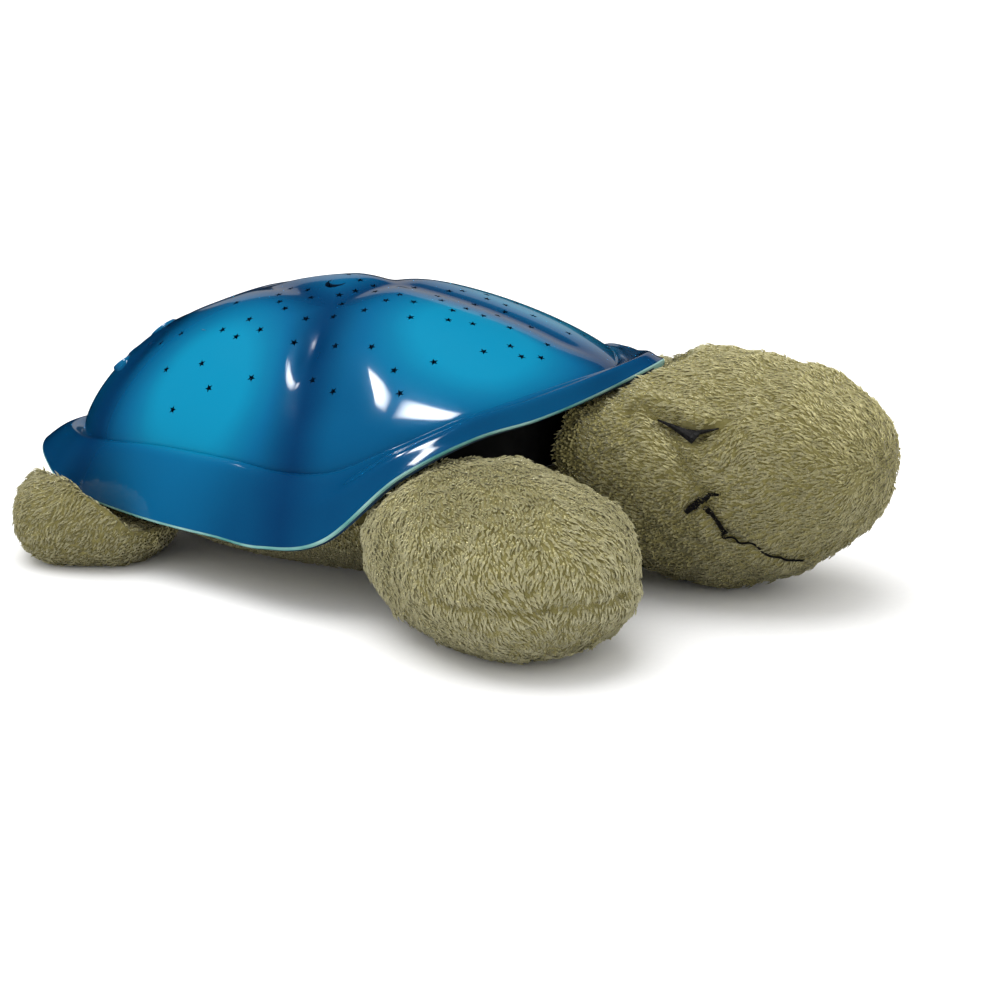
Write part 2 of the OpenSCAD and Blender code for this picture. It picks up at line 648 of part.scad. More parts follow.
// Round wire or tube along a list of points; ref is a direction that the path never takes
module tube(path, d, sides, ref) {
  n = len(path);
  function way(i) = let(v = path[min(i + 1, n - 1)] - path[max(i - 1, 0)]) v / norm(v);
  function across(i) = let(v = cross(way(i), ref)) v / norm(v);
  function at_k(i, k) = i * sides + k % sides;
  polyhedron(
    [for (i = [0:n - 1]) for (k = [0:sides - 1])
      let(u = across(i), v = cross(way(i), u), a = 360 * k / sides)
      path[i] + d / 2 * (u * cos(a) + v * sin(a))],
    concat([for (i = [0:n - 2]) for (k = [0:sides - 1]) each
             [[at_k(i, k), at_k(i + 1, k), at_k(i + 1, k + 1)],
              [at_k(i, k), at_k(i + 1, k + 1), at_k(i, k + 1)]]],
           [[for (k = [0:sides - 1]) at_k(0, k)], [for (k = [sides - 1:-1:0]) at_k(n - 1, k)]]),
    convexity = 8);
}
SPRING_TURNS = 3;
SPRING_STEPS = 9;
spring_wire = 0.8;
SPRING_WIDE = 3.8;
SPRING_NARROW = 2.4;
module contact_springs() {
  room = spring_l - spring_wire - 0.1;
  steps = SPRING_TURNS * SPRING_STEPS;
  made_of(STEEL) at_cells() translate([-bay_l / 2 + plate_t + spring_wire / 2 + 0.05, 0, 0])
    tube([for (i = [0:steps])
           let(a = 360 * i / SPRING_STEPS, r = SPRING_WIDE - (SPRING_WIDE - SPRING_NARROW) * i / steps)
           [room * i / steps, r * cos(a), r * sin(a)]], spring_wire, 5, [1, 0, 0]);
}
module contact_plates() {
  plate_h = 8;
  tab = 3;
  plate_gap = 1;
  made_of(STEEL) for (i = [0:cell_n - 1]) for (x = [-bay_l / 2, bay_l / 2 - plate_t])
    translate([bay_x + x, cell_y(i) - (cell_pitch - plate_gap) / 2, cell_z - plate_h / 2]) {
      cube([plate_t, cell_pitch - plate_gap, plate_h]);
      translate([0, (cell_pitch - plate_gap - tab) / 2, 0]) cube([plate_t, tab, plate_h + 1]);
    }
}

// ---------- base tray ----------

standoff_d = 6;
standoff_h = 8;
board_z = floor_z + standoff_h;
BOARD_SIZE = [46, 38];
board_inset = 22;
BOARD_FROM = [tray_len / 2 - board_inset - BOARD_SIZE.x, -BOARD_SIZE.y / 2];
hole_in = 4;
STANDOFFS = [for (x = [BOARD_FROM.x + hole_in, BOARD_FROM.x + BOARD_SIZE.x - hole_in])
             for (y = [BOARD_FROM.y + hole_in, BOARD_FROM.y + BOARD_SIZE.y - hole_in]) [x, y]];
pedestal_flange_d = 34;
PEDESTAL_SCREWS = [[0, 13.5], [0, -13.5]];
seat_margin = 1.5;
strip_pad_x = flap_free_x + strip_inset - 1;
strip_pad_l = door_back_x - seat_margin - strip_pad_x + 1;

module tray_solid() {
  translate([0, 0, under_tray_z]) linear_extrude(tray_floor) oval(tray_len, tray_wid);
  translate([0, 0, under_tray_z]) linear_extrude(tray_floor + tray_rim) difference() {
    oval(tray_len, tray_wid);
    oval(tray_len - 2 * tray_wall, tray_wid - 2 * tray_wall);
  }
  translate([bay_x - bay_l / 2 - bay_wall, -bay_w / 2 - bay_wall, tray_z])
    cube([bay_l + 2 * bay_wall, bay_w + 2 * bay_wall, floor_z - tray_z]);
  translate([door_back_x - seat_margin, -door_w / 2 - seat_margin, tray_z])
    cube([door_front_x - door_back_x + 2 * seat_margin, door_w + 2 * seat_margin, door_seat + 2]);
  translate([door_screw_x, 0, tray_z]) cylinder(d = door_boss_d, h = floor_z - tray_z);
  for (p = POSTS) translate([p.x, p.y, under_tray_z]) cylinder(d = post_d, h = post_top - under_tray_z);
  for (p = STANDOFFS) translate([p.x, p.y, under_tray_z])
    cylinder(d = standoff_d, h = board_z - under_tray_z);
  // Pad behind the bay that takes the loop strip
  translate([strip_pad_x, -strip_w / 2 - 1, tray_z]) cube([strip_pad_l, strip_w + 2, floor_z - tray_z]);
}
module tray_cuts() {
  // Seat of the door, and the bay open to it
  translate([0, 0, tray_z - 1]) linear_extrude(door_seat + 1)
    round_rect(door_back_x - door_gap, door_front_x + door_gap, door_w + 2 * door_gap, door_round);
  translate([bay_x - bay_l / 2, -bay_w / 2, tray_z]) cube([bay_l, bay_w, bay_roof_z - tray_z]);
  translate([door_screw_x, 0, tray_z]) cylinder(d = door_screw_d + 0.4, h = door_screw_l + 1);
  translate([bay_x - bay_l / 2, -WIRE_SLOT.y / 2, bay_roof_z - 1]) cube([WIRE_SLOT.x, WIRE_SLOT.y, bay_wall + 2]);
  // Seat of the loop strip
  translate([0, 0, tray_z - 1]) linear_extrude(loop_t + 1)
    round_rect(flap_free_x + strip_inset - 0.2, flap_free_x + strip_inset + strip_len + 0.2,
               strip_w + 0.4, strip_round);
  for (p = POSTS) translate([p.x, p.y, 0]) {
    cylinder(d = screw_head_d + 0.6, h = screw_seat_z);
    cylinder(d = shell_screw_d + 0.6, h = post_top + 1);
  }
  for (p = STANDOFFS) translate([p.x, p.y, board_z - standoff_h + 1]) cylinder(d = pilot_d, h = standoff_h);
  for (p = PEDESTAL_SCREWS) translate([p.x, p.y, under_tray_z + 0.5]) cylinder(d = pilot_d, h = tray_floor);
}
module base_tray() {
  made_of(DARK_PLASTIC) difference() {
    tray_solid();
    tray_cuts();
  }
}

// Collar that stands on the tray inside its rim and stops just below the shell
baffle_t = 1.8;
baffle_room = 2;
baffle_back_z = 46;
BAFFLE_SPOKES = 72;
function baffle_top(p) =
  let(s = station(p.x, p.y))
  outer_pt(s[0], s[1]).z - shell_wall / max(STEEPEST, shell_normal(s[0], s[1]).z) - baffle_room;
module light_baffle() {
  outer = [tray_len / 2 - tray_wall - 0.3, tray_wid / 2 - tray_wall - 0.3];
  inner = [outer.x - baffle_t, outer.y - baffle_t];
  function at_k(i, k) = (i % BAFFLE_SPOKES) * 4 + k % 4;
  made_of(DARK_PLASTIC) polyhedron(
    [for (i = [0:BAFFLE_SPOKES - 1])
      let(a = 360 * i / BAFFLE_SPOKES, po = [outer.x * cos(a), outer.y * sin(a)],
          pi = [inner.x * cos(a), inner.y * sin(a)], open = ease((abs(a - 180) - 30) / 18),
          full = min(baffle_top(po), baffle_top(pi)),
          top = baffle_back_z + (max(full, baffle_back_z) - baffle_back_z) * open) each
      [[pi.x, pi.y, floor_z], [po.x, po.y, floor_z], [po.x, po.y, top], [pi.x, pi.y, top]]],
    [for (i = [0:BAFFLE_SPOKES - 1]) for (k = [0:3]) each
      [[at_k(i, k), at_k(i, k + 1), at_k(i + 1, k + 1)],
       [at_k(i, k), at_k(i + 1, k + 1), at_k(i + 1, k)]]],
    convexity = 6);
}

// ---------- lamps ----------

lamp_z = floor_z + lamp_h;
lamp_board_d = 34;
LAMP_RING = 9;
lamp_screw_boss = 8;
lamp_body_h = 4.5;
lamp_base_h = 1;

module lamp_pedestal() {
  made_of(DARK_PLASTIC) translate([0, 0, floor_z]) difference() {
    rotate_extrude() polygon([[0, 0], [pedestal_flange_d / 2, 0], [pedestal_flange_d / 2, 2],
      [11, 2], [9.5, lamp_h - 3], [14, lamp_h - 1], [14, lamp_h], [0, lamp_h]]);
    for (p = PEDESTAL_SCREWS) translate([p.x, p.y, -1]) cylinder(d = pilot_d + 0.4, h = 4);
    translate([0, 0, lamp_h - 10]) cylinder(d = pilot_d, h = 11);
  }
}
module lamp_board() {
  made_of(BOARD_GREEN) translate([0, 0, lamp_z]) difference() {
    cylinder(d = lamp_board_d, h = board_t);
    translate([0, 0, -1]) cylinder(d = pilot_d + 0.4, h = board_t + 2);
  }
}
module lamp(angle, tint) {
  made_of(tint) translate([LAMP_RING * cos(angle), LAMP_RING * sin(angle), lamp_z + board_t]) {
    cylinder(d = lamp_d + 0.8, h = lamp_base_h);
    cylinder(d = lamp_d, h = lamp_base_h + lamp_body_h);
    translate([0, 0, lamp_base_h + lamp_body_h]) sphere(d = lamp_d);
  }
}
module amber_lamp() { lamp(90, "#e8a33a"); }
module green_lamp() { lamp(210, "#5fbf6a"); }
module blue_lamp() { lamp(330, "#5a8fe0"); }

// ---------- boards ----------

module control_board() {
  made_of(BOARD_GREEN) translate([0, 0, board_z]) difference() {
    translate([BOARD_FROM.x, BOARD_FROM.y, 0]) cube([BOARD_SIZE.x, BOARD_SIZE.y, board_t]);
    for (p = STANDOFFS) translate([p.x, p.y, -1]) cylinder(d = pilot_d + 0.4, h = board_t + 2);
  }
}
BOARD_MID = [BOARD_FROM.x + BOARD_SIZE.x / 2, BOARD_FROM.y + BOARD_SIZE.y / 2];
board_face = board_z + board_t;
module timer_chip() {
  chip = [9, 5, 1.8];
  leg = [0.6, 1, 0.9];
  made_of(BLACK) translate([BOARD_MID.x, BOARD_MID.y, board_face]) {
    translate([-chip.x / 2, -chip.y / 2, 0.2]) cube([chip.x, chip.y, chip.z - 0.2]);
    for (i = [-1.5:1:1.5]) for (side = [-1, 1])
      translate([i * 2 - leg.x / 2, side * (chip.y / 2 + leg.y / 2 - 0.1) - leg.y / 2, 0]) cube(leg);
  }
}
module board_capacitors() {
  made_of(BLACK) for (p = [[14, 9], [14, -9]])
    translate([BOARD_MID.x + p.x - 2, BOARD_MID.y + p.y, board_face]) {
      cylinder(d = 6.3, h = 8);
      cylinder(d = 5.7, h = 8.6);
    }
}
module board_resistors() {
  made_of("#d8c79a") for (i = [0:4])
    translate([BOARD_MID.x - 14, BOARD_MID.y - 8 + 4 * i, board_face]) {
      translate([-2.6, 0, 1]) rotate([0, 90, 0]) cylinder(d = 1.9, h = 5.2);
      for (x = [-3.2, 2.6]) translate([x, -0.3, 0]) cube([0.6, 0.6, 1.3]);
    }
}

button_board_from = [-16, -24];
button_board_size = [34, 48];
module button_board() {
  made_of(BOARD_GREEN) button_plane() translate([0, 0, -board_depth - board_t]) difference() {
    translate([button_board_from.x, button_board_from.y, 0])
      cube([button_board_size.x, button_board_size.y, board_t]);
    for (p = BOSS_AT) translate([p.x, p.y, -1]) cylinder(d = pilot_d + 0.4, h = board_t + 2);
  }
}
module tact_switches() {
  made_of(BLACK) button_plane() for (b = BUTTONS) translate([b[0].x, b[0].y, -board_depth]) {
    translate([-switch_w / 2, -switch_w / 2, 0]) cube([switch_w, switch_w, switch_h]);
    cylinder(d = plunger_d, h = switch_h + plunger_h);
  }
}
module power_button() { button(BUTTONS[0], "#d7d9d6"); }
module amber_button() { button(BUTTONS[1], "#e0a34a"); }
module green_button() { button(BUTTONS[2], "#5da96a"); }
module blue_button() { button(BUTTONS[3], "#3f74b8"); }

// ---------- screws ----------

module screw(d, l, head_d, head_h) {
  translate([0, 0, -l]) cylinder(d = d, h = l);
  difference() {
    cylinder(d = head_d, h = head_h);
    for (a = [0, 90]) rotate(a) translate([-head_d * 0.3, -0.3, head_h - 0.8]) cube([head_d * 0.6, 0.6, 1]);
  }
}
module shell_screws() {
  made_of(STEEL) for (p = POSTS) translate([p.x, p.y, screw_seat_z]) rotate([180, 0, 0])
    screw(shell_screw_d, post_top - screw_seat_z + shell_pilot_depth - 2, screw_head_d, screw_head_t);
}
small_screw_d = 2.6;
small_head_d = 4.6;
small_head_t = 1.4;
module board_screws() {
  made_of(STEEL) {
    for (p = STANDOFFS) translate([p.x, p.y, board_face])
      screw(small_screw_d, standoff_h - 1, small_head_d, small_head_t);
    for (p = PEDESTAL_SCREWS) translate([p.x, p.y, floor_z + 2])
      screw(small_screw_d, 4, small_head_d, small_head_t);
    translate([0, 0, lamp_z + board_t]) screw(small_screw_d, 8, small_head_d, small_head_t);
    button_plane() for (p = BOSS_AT) translate([p.x, p.y, -board_depth - board_t])
      rotate([180, 0, 0]) screw(small_screw_d, 8, small_head_d, small_head_t);
  }
}

// ---------- wires ----------

// Smooth curve through a route's points
WIRE_STEPS = 3;
function curve(p) =
  let(n = len(p) - 1)
  [for (i = [0:n - 1]) for (k = [0:WIRE_STEPS - 1])
     let(t = k / WIRE_STEPS, a = p[max(i - 1, 0)], b = p[i], c = p[i + 1], d = p[min(i + 2, n)])
     b + t * (c - a + t * (2 * a - 5 * b + 4 * c - d + t * (3 * b - a - 3 * c + d))) / 2,
   p[n]];
UPISH = [0.35, 0.2, 0.91];
// Points of the routes, with heights over the tray's floor
BATTERY_ROUTE = [[-47, -2, 1], [-48.5, 1, 3], [-45, 9, 2.4], [-36, 15, 2], [-22, 20, 1.2], [0, 23, 1.2],
                 [17, 20, 4], [22, 13, 11], [27, 8, 12]];
LAMP_ROUTE = [[12, -2, 20.5], [17, -2, 21], [21, -2, 19], [24, -2, 15], [27, -2, 12]];
BUTTON_ROUTE = [[-80, -13, 34], [-72, -16, 22], [-56, -18, 10], [-36, -24, 4], [-18, -28, 4], [2, -29, 4],
                [14, -22, 8], [19, -9.5, 13], [27, -8, 14]];
BUTTON_WIRE_AT = [2, -8];
BUTTON_WIRE_DROP = 6;
BATTERY_STEP = [1.3, 1.1, 1.8];
BATTERY_WIRE_DROP = 2.7;
LAMP_STEP = [0, 2, 0];
BUTTON_STEP = [0.7, 1.9, -1.4];
WIRE_SIDES = 6;
wire_land = 0.05;
function over_floor(route) = [for (p = route) p + [0, 0, floor_z]];
// A wire runs beside its route and then straight down on to the control board
module wire(start, route, shift) {
  path = concat(start, [for (p = curve(route)) p + shift]);
  foot = path[len(path) - 1];
  tube(concat(path, [[foot.x, foot.y, board_face + wire_land]]), wire_d, WIRE_SIDES, UPISH);
}
module battery_wires() {
  tints = ["#b8332c", BLACK];
  route = over_floor(BATTERY_ROUTE);
  for (k = [0, 1]) made_of(tints[k])
    wire([route[0] + [k * BATTERY_STEP.x, k * BATTERY_STEP.y, -BATTERY_WIRE_DROP]], route, k * BATTERY_STEP);
}
module lamp_wires() {
  tints = ["#e0a34a", "#5da96a", "#3f74b8"];
  for (k = [0:2]) made_of(tints[k]) wire([], over_floor(LAMP_ROUTE), k * LAMP_STEP);
}
module button_wires() {
  tints = ["#d8d8d4", "#5da96a", "#3f74b8"];
  back = -board_depth - board_t - wire_land;
  route = concat([plane_pt(BUTTON_WIRE_AT, back - BUTTON_WIRE_DROP)], over_floor(BUTTON_ROUTE));
  for (k = [0:2]) made_of(tints[k])
    wire([plane_pt(BUTTON_WIRE_AT + [0, k * BUTTON_STEP.y], back)], route, k * BUTTON_STEP);
}

shell();
head_plush();
front_left_flipper();
front_right_flipper();
rear_left_flipper();
rear_right_flipper();
torso_plush();
belly_panel();
belly_flap();
hook_strip();
loop_strip();
base_tray();
light_baffle();
battery_door();
door_screw();
batteries();
contact_springs();
contact_plates();
control_board();
timer_chip();
board_capacitors();
board_resistors();
lamp_pedestal();
lamp_board();
amber_lamp();
green_lamp();
blue_lamp();
button_board();
tact_switches();
power_button();
amber_button();
green_button();
blue_button();
shell_screws();
board_screws();
battery_wires();
lamp_wires();
button_wires();
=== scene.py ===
"""Looks of a star night light projector: a sleeping plush turtle under a hard shell pierced with stars.

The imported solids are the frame. The hard shell, the plush, the face, the belly cloth and the buttons are
modelled here in metres on the same places, and every solid that stays gets its own finish.
"""
import math

import bmesh
import bpy
import numpy as np
from bpy.props import FloatProperty, IntProperty, PointerProperty
from mathutils import Matrix, Vector
from mathutils.bvhtree import BVHTree


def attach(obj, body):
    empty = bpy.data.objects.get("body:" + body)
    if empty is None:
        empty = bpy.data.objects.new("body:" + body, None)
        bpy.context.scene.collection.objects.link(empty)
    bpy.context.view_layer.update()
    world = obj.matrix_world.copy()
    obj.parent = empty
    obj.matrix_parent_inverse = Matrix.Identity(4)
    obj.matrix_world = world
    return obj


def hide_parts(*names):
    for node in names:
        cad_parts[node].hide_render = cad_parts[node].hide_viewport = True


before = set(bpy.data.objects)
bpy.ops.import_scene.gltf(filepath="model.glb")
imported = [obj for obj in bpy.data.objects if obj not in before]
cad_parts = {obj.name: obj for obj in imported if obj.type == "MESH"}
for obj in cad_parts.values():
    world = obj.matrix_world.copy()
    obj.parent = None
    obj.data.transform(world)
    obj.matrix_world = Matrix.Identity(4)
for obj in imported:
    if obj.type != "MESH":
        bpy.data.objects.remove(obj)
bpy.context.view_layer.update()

bl_info = {
    "name": "Turtle night light",
    "version": (1, 0, 0),
    "blender": (4, 5, 0),
    "location": "View3D > Sidebar > Night light",
    "description": "Builds a sleeping plush turtle with a hard shell pierced with stars",
    "category": "Add Mesh",
}

MM = 0.001
TURTLE = "turtle"

# Shell stations from the head round to the tail, every 15 degrees: radius and height of the
# crease round the dome, then of the rim, in millimetres
CREASE_R = (107, 103, 101, 99, 96, 91, 85, 83, 86, 95, 109, 125, 136)
CREASE_Z = (84, 83, 80, 74, 64, 53, 50, 51, 51, 50, 46, 41, 38)
RIM_R = (129, 117, 113, 114, 118, 113, 105, 99, 102, 110, 123, 142, 159)
RIM_Z = (89, 80, 74, 70, 58, 31, 24, 23, 23, 23, 23, 25, 30)
# Middles of the scutes and how much each gives way to its neighbours
SCUTES = ((-14, 0, 1950), (46, 40, 0), (46, -40, 0), (-49, 57, 0), (-49, -57, 0), (-167, 0, -2262))
# Bead down the front of the skirt and the groove over it: height, place down the skirt and width
SKIRT_BEAD = ((2, 0.66, 0.16), (-1.1, 0.33, 0.16))
# Dimple where the middle valley meets the flank: middle, half sizes and depth
DIMPLE = (-4, 50, 4.5, 9, 2.6)
# Painted glow of light through each scute, over its blue spray: middle, reach each way and strength
SCUTE_PAINTED_GLOW = ((-14, 0, 26, 22, 0.55), (60, 32, 40, 36, 1), (60, 32, 40, 36, 1), (-50, 64, 36, 36, 1),
        (-50, 64, 36, 36, 1), (-125, 0, 20, 30, 0.45))
# The shell's middle lies this far behind the middle of the whole turtle
SHELL_BACK = 33.5
# Star holes on the right half of the shell, each with its twin on the left, and along the middle
STARS = ((86, -24), (84, -12), (80, -30), (74, -27), (68, -13), (67, -38), (59, -4), (56, -12),
         (56, -23), (52, -53), (48, -11), (47, -27), (45, -18), (44, -68), (38, -60), (37, -11),
         (33, -6), (33, -33), (29, -21), (24, -51), (21, -17), (18, -24), (14, -66), (12, -32),
         (9, -15), (7, -49), (5, -8), (2, -60), (0, -15), (-1, -26), (-1, -34), (-2, -6), (-5, -20),
         (-12, -37), (-12, -48), (-17, -22), (-22, -15), (-24, -32), (-25, -61), (-29, -27),
         (-30, -43), (-32, -11), (-33, -20), (-38, -37), (-40, -45), (-44, -62), (-49, -40),
         (-52, -22), (-52, -53), (-60, -64), (-71, -7), (-71, -49), (-73, -32), (-78, -7), (-84, -30),
         (-92, -10))
MIDDLE_STARS = ((72, 0), (47, 0), (20, 0), (-10, 0), (-30, 0))
# Inner corners of a star as a share of its points, and how far it is turned for each millimetre of its place
STAR_WAIST = 0.42
STAR_TURN = 13
MOON = (-11, -11)
# Buttons: middle up the slope and across, and diameter
BUTTONS = {"power_button": (9, 0, 13), "amber_button": (-8, 16, 10), "green_button": (-8, 0, 10),
           "blue_button": (-8, -16, 10)}
BUTTON_X = -107
BUTTON_TILT = 39
# How far a button's flange lies under the top of its cap, radius of the dot in the cap, play round the cap,
# and how deep the bores and the bosses of the button board reach under the buttons' plane
FLANGE_DROP = 7.1
DOT_R = 1.6
CAP_PLAY = 0.3
BOARD_DROP = 17
# Screw posts of the tray, their height, and the two bosses of the button board
POSTS = ((-58, -34), (-58, 34), (58, -34), (58, 34))
POST_TOP = 46.2
BOARD_BOSSES = ((10, 17), (10, -17))
# Ends of the cells, of the capacitors and of the resistors' bodies, in metres of the whole turtle
CELL_ENDS = (-0.0829, -0.0342)
CAN_ENDS = (0.0281, 0.0367)
RESISTOR_ENDS = (-0.0037, 0.0027)


# ---------- sizes and colours ----------

class ShellSettings(bpy.types.PropertyGroup):
    length: FloatProperty(name="Length", description="From the visor tip to the tail lip",
                          default=0.288, unit="LENGTH")
    width: FloatProperty(name="Width", description="Over the two side lobes", default=0.218, unit="LENGTH")
    top: FloatProperty(name="Crown height", description="Height of the crown above the floor",
                       default=0.1145, unit="LENGTH")
    wall: FloatProperty(name="Wall", description="Thickness of the moulding", default=0.0025, unit="LENGTH")
    valley: FloatProperty(name="Valley depth", description="Depth of the valleys between the scutes",
                          default=0.0075, unit="LENGTH")
    star: FloatProperty(name="Star width", description="Star hole from tip to tip", default=0.0039,
                        unit="LENGTH")
    moon: FloatProperty(name="Moon width", description="Crescent hole across", default=0.009, unit="LENGTH")
    button_sink: FloatProperty(name="Button sink", description="How much lower than its solid a cap is drawn",
                               default=0.0008, unit="LENGTH")


class PlushSettings(bpy.types.PropertyGroup):
    lock_length: FloatProperty(name="Lock length", description="Length of one lock of the pile",
                               default=0.0038, unit="LENGTH")
    lock_width: FloatProperty(name="Lock width", description="Width of one lock of the pile",
                              default=0.00095, unit="LENGTH")
    lock_gap: FloatProperty(name="Lock spacing", description="Least distance between two locks",
                            default=0.00078, unit="LENGTH")
    pile: FloatProperty(name="Pile depth", description="Depth of the pile over its backing",
                        default=0.0012, unit="LENGTH")
    seed: IntProperty(name="Seed", description="Start of the random placing of the locks", default=7)


class StageSettings(bpy.types.PropertyGroup):
    azimuth: FloatProperty(name="Azimuth", description="Direction of the camera round the turtle",
                           default=math.radians(23), subtype="ANGLE")
    elevation: FloatProperty(name="Elevation", description="Height of the camera above the horizon",
                             default=math.radians(14), subtype="ANGLE")
    distance: FloatProperty(name="Distance", description="From the camera to the turtle", default=1.1,
                            unit="LENGTH")
    lens: FloatProperty(name="Lens", description="Focal length in millimetres", default=95.04)


# ---------- materials ----------

def linear(hex_colour):
    """Linear colour of an sRGB hex value."""
    parts = [int(hex_colour[i:i + 2], 16) / 255 for i in (1, 3, 5)]
    return [c / 12.92 if c <= 0.04045 else ((c + 0.055) / 1.055) ** 2.4 for c in parts] + [1]


def add_node(tree, kind, settings=None, links=None, **inputs):
    """Adds a node, sets its properties and sockets, and links named sockets from other nodes' outputs."""
    node = tree.nodes.new(kind)
    for name, value in (settings or {}).items():
        setattr(node, name, value)
    for name, value in inputs.items():
        node.inputs[name.replace("_", " ")].default_value = value
    for name, output in (links or {}).items():
        tree.links.new(output, node.inputs[name])
    return node


def new_material(name, **values):
    """A material with its shader and output; the values go straight on the shader's sockets."""
    material = bpy.data.materials.new(name)
    material.use_nodes = True
    tree = material.node_tree
    tree.nodes.clear()
    shader = add_node(tree, "ShaderNodeBsdfPrincipled", **values)
    add_node(tree, "ShaderNodeOutputMaterial", links={"Surface": shader.outputs[0]})
    return material, tree, shader


def colour_ramp(tree, factor, stops):
    """A ramp of hex colours along a factor."""
    node = add_node(tree, "ShaderNodeValToRGB", links={"Fac": factor})
    ramp = node.color_ramp
    while len(ramp.elements) < len(stops):
        ramp.elements.new(0.5)
    for element, (place, tint) in zip(ramp.elements, stops):
        element.position = place
        element.color = linear(tint)
    return node.outputs["Color"]


def object_place(tree):
    return add_node(tree, "ShaderNodeTexCoord").outputs["Object"]


def noise(tree, scale, detail=2, vector=None):
    """Noise in object space; scale is in cells per metre."""
    return add_node(tree, "ShaderNodeTexNoise", links={"Vector": vector or object_place(tree)}, Scale=scale,
                    Detail=detail).outputs["Fac"]


def bump(tree, shader, height, strength, distance):
    """Lays a height over a shader as bump; distance is the relief in metres."""
    node = add_node(tree, "ShaderNodeBump", links={"Height": height}, Strength=strength, Distance=distance)
    tree.links.new(node.outputs["Normal"], shader.inputs["Normal"])


def attribute(tree, name):
    return add_node(tree, "ShaderNodeAttribute", {"attribute_name": name}).outputs["Fac"]


def weighted(tree, value, weight, base=None):
    """A value times a weight, added to a base where there is one."""
    node = add_node(tree, "ShaderNodeMath", {"operation": "MULTIPLY_ADD" if base else "MULTIPLY"},
                    {0: value, 2: base} if base else {0: value})
    node.inputs[1].default_value = weight
    return node.outputs[0]


def along_axis(tree, axis, start, end, low=0, high=1):
    """A value that goes from low to high between two places on an axis, in metres of the whole turtle."""
    place = add_node(tree, "ShaderNodeSeparateXYZ", links={"Vector": object_place(tree)}).outputs[axis]
    return add_node(tree, "ShaderNodeMapRange", links={"Value": place}, From_Min=start, From_Max=end,
                    To_Min=low, To_Max=high).outputs[0]


def paint(tree, shader, factor, stops, socket="Base Color"):
    """Colours a shader along a factor."""
    tint = colour_ramp(tree, factor, stops)
    tree.links.new(tint, shader.inputs[socket])
    return tint.node.color_ramp


def paint_bands(tree, shader, axis, ends, stops, socket="Base Color"):
    """Crisp bands of colour across an axis, between two ends."""
    paint(tree, shader, along_axis(tree, axis, *ends), stops, socket).interpolation = "CONSTANT"


def mottled(name, grain, dark, pale, stops=(0.3, 0.7), relief=None, **values):
    """A material that drifts between two colours; grain is the noise's scale and detail, relief the scale,
    detail, strength and distance of a bump."""
    material, tree, shader = new_material(name, **values)
    paint(tree, shader, noise(tree, *grain), tuple(zip(stops, (dark, pale))))
    if relief:
        bump(tree, shader, noise(tree, *relief[:2]), *relief[2:])
    return material


def shell_abs_with_painted_glow():
    """Injection moulded clear ABS, sprayed blue under a gloss lacquer: wet highlights over a painted glow of
    light through the plastic, cyan in each scute's middle, that fades into painted shade, navy, in the
    valleys."""
    material, tree, shader = new_material("sprayed gloss ABS", Roughness=0.22, IOR=1.5,
                                          Specular_IOR_Level=0.12, Coat_Weight=1, Coat_Roughness=0.055)
    # The glow attribute is painted light: cyan glow mid-scute, navy painted shade in the valleys and down the
    # skirt
    mist = weighted(tree, noise(tree, 1400, 1), 0.05, attribute(tree, "glow"))
    cloud = weighted(tree, noise(tree, 26, 2), 0.12, mist)
    paint(tree, shader, cloud, ((0.05, "#032f58"), (0.27, "#044871"), (0.55, "#055c88"), (0.8, "#066f97"),
                                (1.0, "#0682a8")))
    bump(tree, shader, noise(tree, 900, 2), 0.10, 0.00008)
    return material


def bare_edge_abs():
    """The cut edge of the clear moulding, with no paint: pale aqua with a thin bright line."""
    return mottled("bare aqua ABS edge", (60, 2), "#4f8f8c", "#93bcb6", (0.35, 0.65), Roughness=0.22, IOR=1.5,
                   Subsurface_Weight=0.3, Subsurface_Radius=(0.002, 0.003, 0.003))


def shaded_inside_abs():
    """Inside of the shell and the walls of the star holes: the same plastic, darkened as painted shade,
    satin.
    """
    return mottled("inner satin ABS", (90, 2), "#072540", "#0b3557", Roughness=0.45, IOR=1.5)


def plush_backing():
    """Knitted polyester backing under the pile: matt, seen only between the locks, and darkened there as
    painted shade.
    """
    return mottled("knitted plush backing", (420, 3), "#625b2c", "#7e7745", relief=(900, 2, 0.6, 0.0004),
                   Roughness=0.95, Sheen_Weight=0.2)


def plush_pile():
    """Short polyester minky pile brushed into small locks: darkened at the root as painted shade between the
    locks, pale and soft at the tip, and painted lighter the higher it sits, as the light falls from above."""
    material, tree, shader = new_material("brushed minky pile", Roughness=0.85, Sheen_Weight=0.38,
                                          Sheen_Roughness=0.5, Sheen_Tint=linear("#d8d3b4"))
    # Painted shade: each lock darkens towards its root, where shade falls between the locks
    tone = weighted(tree, attribute(tree, "tip"), 0.6)
    # A random tone for each lock, raised on the front flippers as painted light
    tone = weighted(tree, attribute(tree, "lock"), 0.22, tone)
    tone = weighted(tree, noise(tree, 34, 3), 0.35, tone)
    colour = colour_ramp(tree, tone, (
        (0.1, "#5c5528"), (0.36, "#8f8750"), (0.62, "#b3ab76"), (0.95, "#d3cda0")))
    # Painted light: darker low down and lighter towards the top, as the light falls from above
    top_lit_colour = add_node(tree, "ShaderNodeVectorMath", {"operation": "SCALE"},
                       {0: colour, "Scale": along_axis(tree, "Z", 0.01, 0.1, 0.82, 1.42)})
    tree.links.new(top_lit_colour.outputs[0], shader.inputs["Base Color"])
    return material


def grained_abs(name, dark, pale, roughness=0.55):
    """Moulded ABS from a spark-eroded tool: an even fine grain that keeps the gloss low."""
    return mottled(name, (160, 3), dark, pale, relief=(2200, 2, 0.35, 0.00012), Roughness=roughness, IOR=1.5)


